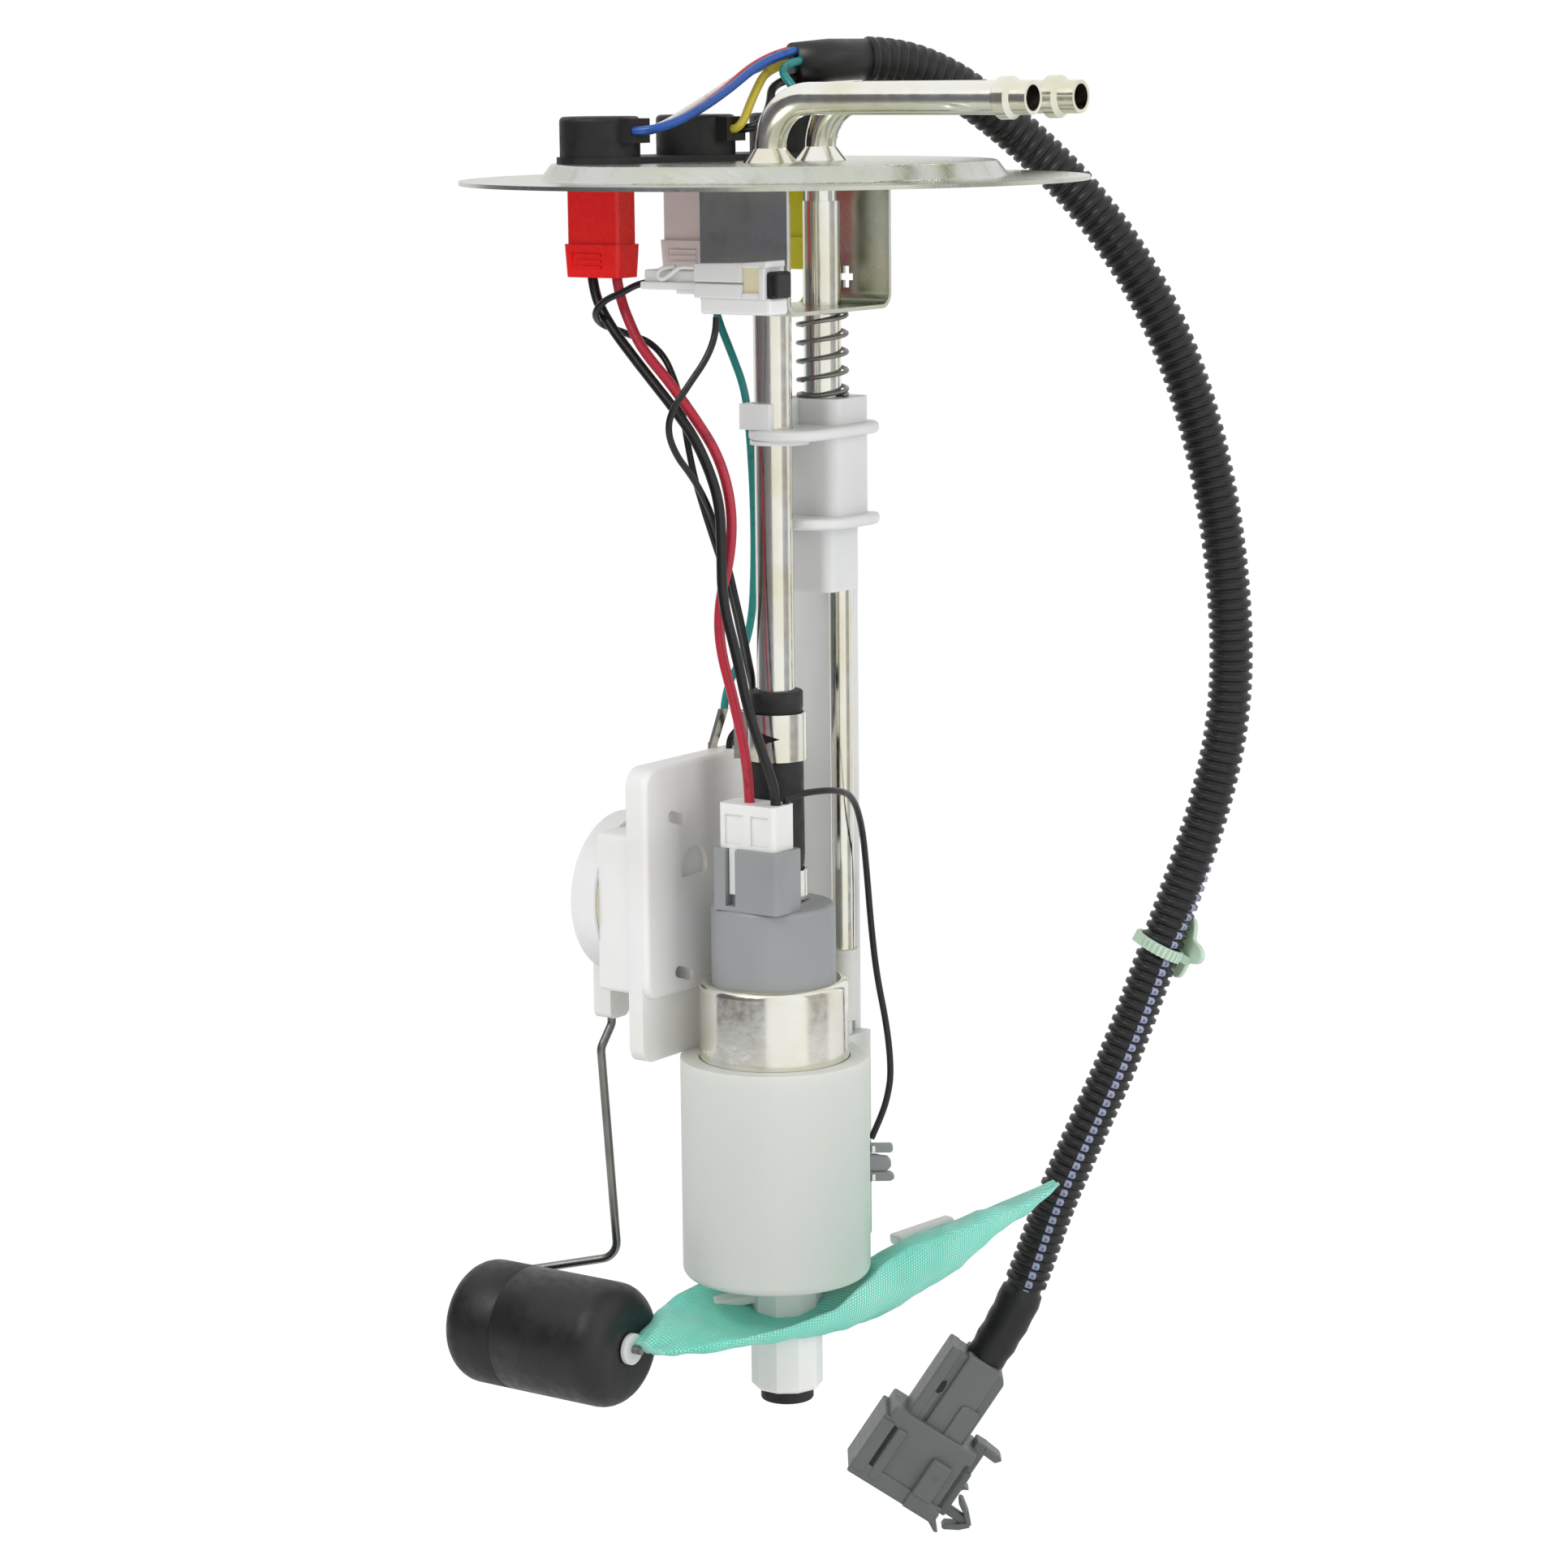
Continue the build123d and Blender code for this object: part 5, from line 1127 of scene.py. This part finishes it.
def woven_mesh():
    """Mint mesh: threads cross at right angles, with pale pores where the sheet lies loose."""
    finish = Finish("mint mesh", Roughness=0.55)
    lengthwise = finish.attribute("lengthwise")
    crosswise = finish.attribute("crosswise")
    warp = ((lengthwise + crosswise) * (2 * math.pi / WEAVE)).math("SINE")
    weft = ((lengthwise - crosswise) * (2 * math.pi / WEAVE)).math("SINE")
    threads = (warp * weft) * 0.5 + 0.5
    pores = finish.between(0.5, 0.9, threads)
    loose = finish.between(0.38, 0.62, finish.noise(34.0, 2.0), 0.35, 1.0)
    drift = finish.noise(40.0, 4.0)
    tone = finish.blend(rgb(0.44, 0.85, 0.77), rgb(0.36, 0.80, 0.71), finish.between(0.35, 0.7, drift))
    finish.drive("Base Color", finish.blend(tone, rgb(0.90, 0.98, 0.95), pores * loose))
    finish.bump(threads + drift * 0.6, THREAD_DEPTH, 0.7)
    finish.glow_within(0.25, (0.6, 1.0, 0.95), SINK)
    return finish


wear(sock, woven_mesh())
print("strainer dressed")

# %% [markdown]
# ## Float
# The float is a foamed black cylinder with generously rounded ends, a parting line near one end and a
# shallow dimple where the arm's wire goes through it. It is turned as the hose is, about its own length. One
# more ring, past the parting line, keeps that line's soft shading near it.

# %% Float body
FLOAT_AT = Vector((-38.8, -50.0, -291.0)) * MM
FLOAT_R = 16.0 * MM
FLOAT_HALF = 25.0 * MM
ROUND = 6.5 * MM
ROUND_STEPS = 8
BORE = 1.25 * MM
DIMPLE_FLOOR = 3.2 * MM
DIMPLE_RIM = 4.2 * MM
DIMPLE = 0.4 * MM
PARTING = -8.0 * MM
GROOVE = 0.35 * MM
GROOVE_DEPTH = 0.3 * MM
PAST_GROOVE = 12.0 * MM
FLOAT_STEPS = 72

left = [(-FLOAT_HALF + DIMPLE, BORE), (-FLOAT_HALF + DIMPLE, DIMPLE_FLOOR), (-FLOAT_HALF, DIMPLE_RIM)]
for n in range(ROUND_STEPS + 1):
    angle = math.pi / 2 * n / ROUND_STEPS
    left.append((-FLOAT_HALF + ROUND * (1 - math.cos(angle)), FLOAT_R - ROUND * (1 - math.sin(angle))))
groove = [
    (PARTING - GROOVE, FLOAT_R), (PARTING, FLOAT_R - GROOVE_DEPTH), (PARTING + GROOVE, FLOAT_R),
    (PARTING + PAST_GROOVE, FLOAT_R),
]
right = [(-x, radius) for x, radius in reversed(left)]
section = [(x, radius, 0) for x, radius in left + groove + right]
foam_float = wear(turned_piece("foam_float", section, (1, 0, 0), FLOAT_AT, FLOAT_STEPS), FOAM)
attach(foam_float, "float_roll")
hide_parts("float")
print("float", round(2 * FLOAT_HALF * 1000), "mm long")

# %% [markdown]
# ## Moulded blocks
# Plug housings are made of flat-sided blocks with soft edges: a cover plate, a rail, a latch. `block` draws
# one outline in a plane, extrudes it with bmesh and bevels its edges, and `join` puts the blocks of one
# housing together, so that each housing is one piece. A place may mirror its blocks, so the normals are
# worked out once more there. The small faces of the bevels are smooth, the large ones stay flat.


# %% Blocks
SMOOTH_UNDER = 0.6 * MM * MM


def block(outline, low, high, soft=0.35, segments=2):
    """An outline of (u, v) points extruded from w = low to w = high, in millimetres, with soft edges."""
    shape = bmesh.new()
    face = shape.faces.new([shape.verts.new((u, low, v)) for u, v in outline])
    raised = new_verts(bmesh.ops.extrude_face_region(shape, geom=[face]))
    bmesh.ops.translate(shape, verts=raised, vec=(0, high - low, 0))
    bmesh.ops.recalc_face_normals(shape, faces=shape.faces)
    if soft:
        bmesh.ops.bevel(
            shape, geom=shape.edges[:], offset=soft, offset_type="OFFSET", segments=segments,
            profile=0.5, affect="EDGES", material=-1, clamp_overlap=True)
    return shape


def bar(u0, u1, v0, v1, low, high, soft=0.35):
    """A block with a rectangular outline."""
    return block([(u0, v0), (u1, v0), (u1, v1), (u0, v1)], low, high, soft)


def polar(radius, steps, middle=(0.0, 0.0)):
    """An outline round a middle, whose radius is a function of the angle."""
    angles = [2 * math.pi * n / steps for n in range(steps)]
    return [(middle[0] + radius(t) * math.cos(t), middle[1] + radius(t) * math.sin(t)) for t in angles]


def disc(u, v, radius, low, high, soft=0.2, sides=24):
    """A round block."""
    return block(polar(lambda angle: radius, sides, (u, v)), low, high, soft, 1)


def join(name, shapes, place=None):
    """Blocks in millimetres made one piece, in place or put in its place by a matrix."""
    whole = bmesh.new()
    for shape in shapes:
        mesh = bpy.data.meshes.new("part")
        shape.to_mesh(mesh)
        shape.free()
        whole.from_mesh(mesh)
        bpy.data.meshes.remove(mesh)
    bmesh.ops.scale(whole, vec=(MM, MM, MM), verts=whole.verts)
    if place is not None:
        bmesh.ops.transform(whole, matrix=place, verts=whole.verts)
    bmesh.ops.recalc_face_normals(whole, faces=whole.faces)
    for face in whole.faces:
        face.smooth = face.calc_area() < SMOOTH_UNDER
    return from_bmesh(name, whole)


print("block helpers ready")

# %% [markdown]
# ## Harness plug
# The loom ends in a grey plug: a narrow body where the wires go in and a wider shell, open at the far end,
# with a rail for the latch on its face. It is moulded in one piece, so it is one mesh of soft-edged blocks.
# Its own axes are u across the plug, w out of its face and v along it.

# %% Plug axes
loom_end = Vector(LOOM_ROUTE[-1])
plug_along = (loom_end - Vector(LOOM_ROUTE[-2])).normalized()
plug_across = plug_along.cross(eye_away).normalized()
plug_out = plug_along.cross(plug_across)
plug_place = axes_at(loom_end * MM, plug_across, plug_out, plug_along)
print("plug points", [round(c, 2) for c in plug_along])

# %% [markdown]
# The body is a flat block with a bar down its left side and a cover over its middle. A gate for the latch and
# a rib stand on its face.

# %% Plug body
BODY = 6.5
LATCH_GATE = [(0.8, 21.5), (0.8, 11.6), (1.6, 10.7), (5.6, 10.7), (6.4, 11.6), (6.4, 21.5)]
body_parts = [
    block([(-8.6, -1.2), (6.2, -1.2), (7.6, 0.6), (7.6, 21.5), (-8.6, 21.5)], -BODY, BODY - 1.1, 0.5),
    bar(-10.6, -7.5, -1.6, 21.5, -BODY + 0.6, BODY, 0.5),
    bar(-5.1, 4.9, -2.2, 21.5, -BODY - 0.4, BODY, 0.6),
    block(LATCH_GATE, 4.0, BODY + 0.7, 0.3),
    bar(-8.2, -6.2, 12.0, 20.8, 3.0, BODY - 0.3, 0.2),
]
print("plug body:", len(body_parts), "blocks")

# %% [markdown]
# The shell is four walls round an open mouth, with two rails, a rim and the latch's ramp on its face. Six
# contact blades stand inside it.

# %% Plug shell
FACE = 8.5
shell_parts = [
    bar(-14.6, 11.8, 20.6, 25.0, -FACE, FACE, 0.6),
    bar(-16.0, -14.2, 24.0, 43.0, -FACE, FACE - 0.4, 0.4),
    bar(10.0, 11.8, 24.0, 43.0, -FACE, FACE, 0.4),
    bar(-16.0, 11.8, 24.0, 43.0, FACE - 2.0, FACE, 0.4),
    bar(-16.0, 11.8, 24.0, 43.0, -FACE, -FACE + 1.7, 0.4),
    bar(-16.3, -12.3, 25.0, 41.6, FACE - 1.0, FACE + 1.0, 0.4),
    bar(-10.9, -7.8, 25.3, 41.6, FACE - 1.0, FACE + 1.0, 0.5),
    bar(-16.3, 11.8, 38.4, 43.2, FACE - 1.0, FACE + 0.8, 0.5),
    bar(1.9, 8.0, 27.2, 39.0, FACE - 1.0, FACE + 1.9, 0.6),
    block([(1.7, 38.2), (8.2, 38.2), (11.9, 39.8), (11.9, 43.3), (1.7, 43.3)], FACE - 1.0, FACE + 1.5, 0.5),
    disc(5.4, 31.8, 0.55, FACE + 1.5, FACE + 2.2),
    block([(11.4, 41.2), (14.6, 44.9), (13.6, 45.3), (9.4, 42.9)], 4.8, FACE, 0.25),
    bar(11.4, 12.9, 24.5, 42.0, 2.0, 4.0, 0.3),
]
for u in (-9.0, -2.4, 4.2):
    for w in (-3.0, 2.6):
        shell_parts.append(bar(u - 0.5, u + 0.5, 24.0, 36.0, w - 0.4, w + 0.4, 0.15))
harness_plug = wear(join("harness_plug", body_parts + shell_parts, plug_place), PLUG_GREY)
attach(harness_plug, "lid_unit")
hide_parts("harness_connector")
print("plug shell:", len(shell_parts), "blocks")

# %% [markdown]
# The mouth of the oval latch hole and the slots beside the rails are deep and narrow, so what shows is
# the shade inside them. Thin black blocks set just under the surface paint that shade.

# %% Plug shadows
hollows = [
    block([(-7.9, 11.6), (-7.3, 8.6), (-6.4, 7.6), (-5.9, 8.8), (-5.7, 11.0), (-6.5, 12.0)], 4.6, 5.55, 0.1),
    bar(-12.1, -11.1, 25.4, 38.4, 7.6, 8.62, 0.05),
    bar(-14.0, 9.9, 42.0, 42.4, -6.6, 6.3, 0.05),
]
# Painted shade: black blocks in the latch hole and the slots.
plug_dark = wear(join("plug_hollows", hollows, plug_place), BLACK)
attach(plug_dark, "lid_unit")
print("plug hollows:", len(hollows))

# %% [markdown]
# Two things stick out of the plug's side: a hooked arm and a barbed clip that snaps into a panel hole. The
# clip is an arrow with two springy wings, thin enough to bend, so each wing is its own slim block.

# %% Plug clip
WING = 2.4
UPPER_WING = [
    (15.9, 35.2), (17.0, 34.9), (20.2, 37.2), (22.9, 40.0), (21.6, 40.6), (19.0, 38.2), (16.4, 36.5)]
LOWER_WING = [
    (16.0, 44.8), (16.9, 45.0), (20.6, 42.9), (22.9, 40.6), (21.4, 40.0), (19.4, 41.6), (16.2, 43.4)]
clip_parts = [
    bar(10.6, 14.4, 18.2, 27.4, -3.2, 3.2, 0.4),
    block([(13.2, 18.2), (18.4, 18.8), (19.6, 19.6), (18.2, 21.2), (13.4, 20.8)], -3.2, 3.2, 0.4),
    bar(11.2, 14.8, 27.4, 41.6, -3.0, 3.0, 0.5),
    block([(14.4, 31.0), (16.6, 31.6), (15.2, 32.4), (14.4, 33.6)], -2.6, 2.6, 0.2),
    block([(14.4, 38.6), (20.8, 39.0), (22.8, 40.2), (21.4, 41.4), (14.4, 41.2)], -1.4, 1.4),
    block(UPPER_WING, -WING, WING),
    block(LOWER_WING, -WING, WING),
]
plug_clip = wear(join("plug_clip", clip_parts, plug_place), PLUG_GREY)
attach(plug_clip, "lid_unit")
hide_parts("harness_clip")
print("clip:", len(clip_parts), "blocks")

# %% [markdown]
# ## Strainer frame
# Only bits of the white frame inside the sock show: a spider that clips under the pump, an arm that points
# to the front, one that goes to the back, and a tongue that looks over the far weld. Its outlines lie in
# the sock's own flat, and w is the sock's up.

# %% Strainer frame
spider_parts = [
    disc(0.0, 0.0, 5.2, -2.0, 6.6, soft=0.5, sides=40),
    block([(-16.2, -8.0), (-14.0, -11.8), (4.0, -4.0), (1.0, 3.0)], 5.6, 8.0, soft=0.6),
    block([(0.0, -6.5), (26.0, -9.5), (28.0, -5.0), (0.0, 3.0)], 1.6, 4.4, soft=0.6),
    block([(48.0, -16.6), (66.0, -13.8), (66.0, -10.0), (48.0, -12.0)], -0.6, 2.6, soft=0.9),
]
spider = wear(join("strainer_spider", spider_parts, axes_at(FOOT, heading, sock_up, sideways)), NYLON)
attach(spider, "carriage")
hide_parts("strainer_frame")
print("strainer frame:", len(spider_parts), "blocks")

# %% [markdown]
# ## Inline connector
# In front of the bracket two white housings are plugged together. The right one has an upper and a lower
# skin with a groove between them, a window for its catch and a deeper block below. The left one is set
# back, with a ledge, and a thin latch strap loops over it. Here u is X, w is Y and v is Z.

# %% Inline connector
FRONT = -38.0
SKIN = -36.4
inline_parts = [
    bar(2.2, 22.8, -26.8, -18.8, -36.6, -29.0),
    block([(2.2, -22.9), (16.4, -22.9), (16.4, -18.1), (2.2, -18.5)], FRONT, SKIN),
    bar(2.2, 16.4, -26.8, -23.3, FRONT, SKIN),
    block([(16.2, -19.3), (23.8, -19.3), (23.8, -17.6), (16.2, -18.1)], FRONT, -30.0),
    bar(21.4, 23.0, -26.9, -19.0, FRONT, SKIN),
    bar(16.2, 21.6, -26.8, -25.3, FRONT, SKIN),
    bar(3.6, 24.2, -30.7, -26.6, -37.4, -29.5, soft=0.7),
    bar(-14.3, 2.4, -25.1, -23.2, -37.6, -30.0, soft=0.4),
    bar(-14.0, 2.4, -23.4, -20.4, -36.2, -30.6, soft=0.4),
    bar(-3.5, 2.4, -26.0, -24.8, -37.4, -30.4, soft=0.3),
]
inline = wear(join("inline_connector", inline_parts), NYLON)
# Painted shade: a thin beige plate on the floor of the catch's recess.
window = wear(join("inline_window_shade", [bar(16.2, 21.6, -25.4, -19.1, -36.9, -36.5, soft=0.0)]), CARD)
# Painted shade: a black block at the right end stands for the shade in the connector's open end.
open_end_shade = wear(join("inline_open_end_shade", [bar(22.6, 25.8, -26.7, -20.2, -36.6, -30.0, soft=0.8)]), BLACK)
print("inline connector:", len(inline_parts), "blocks")

# %% [markdown]
# The latch strap is a thin tube on a loop of its own.

# %% Inline latch
LATCH_R = 0.55 * MM
LATCH_RINGS = 40
LATCH_SEGMENTS = 12
LATCH_ROUTE = [
    (2.2, -37.8, -19.5), (-1.4, -37.8, -19.4), (-2.6, -37.8, -19.8), (-6.0, -37.8, -22.2),
    (-8.0, -37.8, -22.6), (-8.7, -37.8, -21.6), (-8.0, -37.8, -20.2), (-6.4, -37.4, -19.6),
    (-4.2, -36.6, -19.4),
]
latch_route = Route(read_line(LATCH_ROUTE))
latch_profile = latch_route.even(LATCH_R, LATCH_RINGS)
latch = wear(tube("inline_latch", latch_route, latch_profile, LATCH_SEGMENTS), NYLON)
for piece in (inline, window, open_end_shade, latch):
    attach(piece, "lid_unit")
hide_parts("inline_plug")
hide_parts("inline_socket")
print("latch", round(latch_route.length * 1000, 1), "mm long")

# %% [markdown]
# ## Tie clip
# A strap holds the loom. It is a ring that leaves a slit open, with teeth along its lower side, a thicker
# head at its left and a stem at its right. Its outline is the outer circle with the teeth and the head
# added, and the inner circle back again.

# %% Tie strap
STRAP_AT = Vector((51.0, 105.0, -207.7)) * MM
STRAP_TILT = math.radians(28.0)
STRAP_R = 6.9
STRAP_INNER_R = 5.9
STRAP_STEPS = 180
SLIT_HALF = 1
TEETH = (215, 335)
TOOTH = 0.55
TOOTH_STEPS = 6
HEAD_BEARING = 192
HEAD_SPREAD = 24
HEAD = 0.9

outer, inner = [], []
for n in range(STRAP_STEPS + 1):
    degrees = SLIT_HALF + n * (360 - 2 * SLIT_HALF) / STRAP_STEPS
    toothed = TEETH[0] < degrees < TEETH[1] and n % TOOTH_STEPS < TOOTH_STEPS / 2
    head = HEAD * max(0.0, 1 - abs(degrees - HEAD_BEARING) / HEAD_SPREAD)
    radius = STRAP_R + head + (TOOTH if toothed else 0.0)
    across, up = math.cos(math.radians(degrees)), math.sin(math.radians(degrees))
    outer.append((radius * across, radius * up))
    inner.append((STRAP_INNER_R * across, STRAP_INNER_R * up))
strap_parts = [block(outer + inner[::-1], -1.5, 1.5, soft=0.0), bar(5.8, 9.6, -1.4, 2.4, -1.2, 1.2, soft=0.4)]
strap_right = eye_right * math.cos(STRAP_TILT) - UP * math.sin(STRAP_TILT)
strap_up = UP * math.cos(STRAP_TILT) + eye_right * math.sin(STRAP_TILT)
strap = wear(join("tie_strap", strap_parts, axes_at(STRAP_AT, strap_right, strap_up, eye_away)), PALE_GREEN)
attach(strap, "lid_unit")
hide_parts("tie_clip")
print("tie strap", len(strap.data.polygons), "faces")

# %% [markdown]
# Behind the strap stands the clip's springy washer, a plate with four lobes. A cosine of four times the
# angle swells its radius at each lobe.

# %% Tie washer
WASHER_AT = Vector((55.4, 111.4, -208.8)) * MM
WASHER_TURN = math.radians(58.0)
WASHER_LEAN = 0.24
WASHER_R = 6.7
WASHER_STEPS = 96
LOBE = 1.9
LOBE_BEARING = math.radians(80)

washer_across = eye_right * math.cos(WASHER_TURN) - eye_away * math.sin(WASHER_TURN)
leaning = (UP * math.cos(WASHER_LEAN) + eye_right * math.sin(WASHER_LEAN)).normalized()
washer_out = washer_across.cross(leaning).normalized()
washer_place = axes_at(WASHER_AT, washer_across, washer_out, washer_out.cross(washer_across))
lobes = polar(lambda angle: WASHER_R + LOBE * math.cos(4 * (angle - LOBE_BEARING)), WASHER_STEPS)
washer = wear(join("tie_washer", [block(lobes, -0.7, 0.7, soft=0.4, segments=1)], washer_place), PALE_GREEN)
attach(washer, "lid_unit")
print("tie washer", len(washer.data.polygons), "faces")

# %% [markdown]
# ## Level switch
# At the cup's edge sits a grey fork of three rounded tabs on a back plate, with a bright contact at the
# root of the upper and the lower one.

# %% Level switch
SWITCH_AT = Vector((16.0, 15.0, -247.0)) * MM
UPPER_TAB = [(0.4, -3.0), (5.9, -3.0), (6.4, -2.5), (6.4, -1.3), (5.9, -0.8), (0.4, -0.8)]
MIDDLE_TAB = [
    (0.2, -7.8), (5.0, -7.8), (5.9, -6.8), (5.9, -5.4), (5.0, -4.2), (3.2, -4.0), (2.2, -3.7), (0.2, -3.6)]
LOWER_TAB = [
    (0.2, -10.6), (5.8, -10.6), (6.7, -10.0), (6.7, -9.2), (5.9, -8.4), (4.0, -8.2), (0.2, -8.2)]
fork_parts = [
    block(UPPER_TAB, -1.3, 1.3, soft=0.3),
    block(MIDDLE_TAB, -1.1, 1.1, soft=0.3),
    block(LOWER_TAB, -1.3, 1.3, soft=0.3),
    bar(-2.2, 0.8, -11.0, -0.4, -0.8, 1.6, soft=0.3),
]
contact_parts = [bar(0.9, 1.8, low, low + 1.8, -1.7, -1.1, 0.1) for low in (-2.8, -10.4)]

switch_place = axes_at(SWITCH_AT, eye_right, eye_away, UP)
switch = wear(join("level_fork", fork_parts, switch_place), GREY)
contacts = wear(join("level_contacts", contact_parts, switch_place), PLATED)
for piece in (switch, contacts):
    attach(piece, "carriage")
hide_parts("level_switch")
print("level switch", len(switch.data.polygons), "faces")

# %% [markdown]
# ## Small bright and dark bits
# Two dark spring clips sit in the holes of the sender's plate. Each is drawn as a block, with u along Y and
# w along X, and moved to its hole.

# %% Plate clips
CLIP_X = -16.6
CLIP_HOLES = [(-22.6, -159.2), (-20.4, -200.4)]
CLIP_OUTLINE = [(-1.9, -0.9), (0.6, -1.2), (2.0, 0.3), (1.6, 1.0), (-0.6, 0.9)]
clip_shapes = []
for y, z in CLIP_HOLES:
    shape = block(CLIP_OUTLINE, -0.5, 0.7, soft=0.25)
    for vert in shape.verts:
        vert.co = Vector((CLIP_X + vert.co.y, y + vert.co.x, z + vert.co.z))
    clip_shapes.append(shape)
clips = wear(join("plate_clips", clip_shapes), WIRE_STEEL)
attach(clips, "carriage")
print("plate clips:", len(clip_shapes))

# %% [markdown]
# A yellow lead shows for a moment between the loom's tape and the plug. It bulges out a little on its way.

# %% Yellow lead
LEAD_D = 1.0
LEAD_OUT = 5.2
LEAD_WAY = [(-2.6, 0.9), (-0.6, 1.06), (1.6, 0.95)]
lead_side = (eye_right * 0.35 - eye_away * 0.94) * LEAD_OUT
lead_points = [loom_end + plug_along * on + lead_side * out for on, out in LEAD_WAY]
yellow_lead = wear(spline("yellow_lead", lead_points, LEAD_D), SLEEVES["yellow"])
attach(yellow_lead, "lid_unit")
print("yellow lead made")
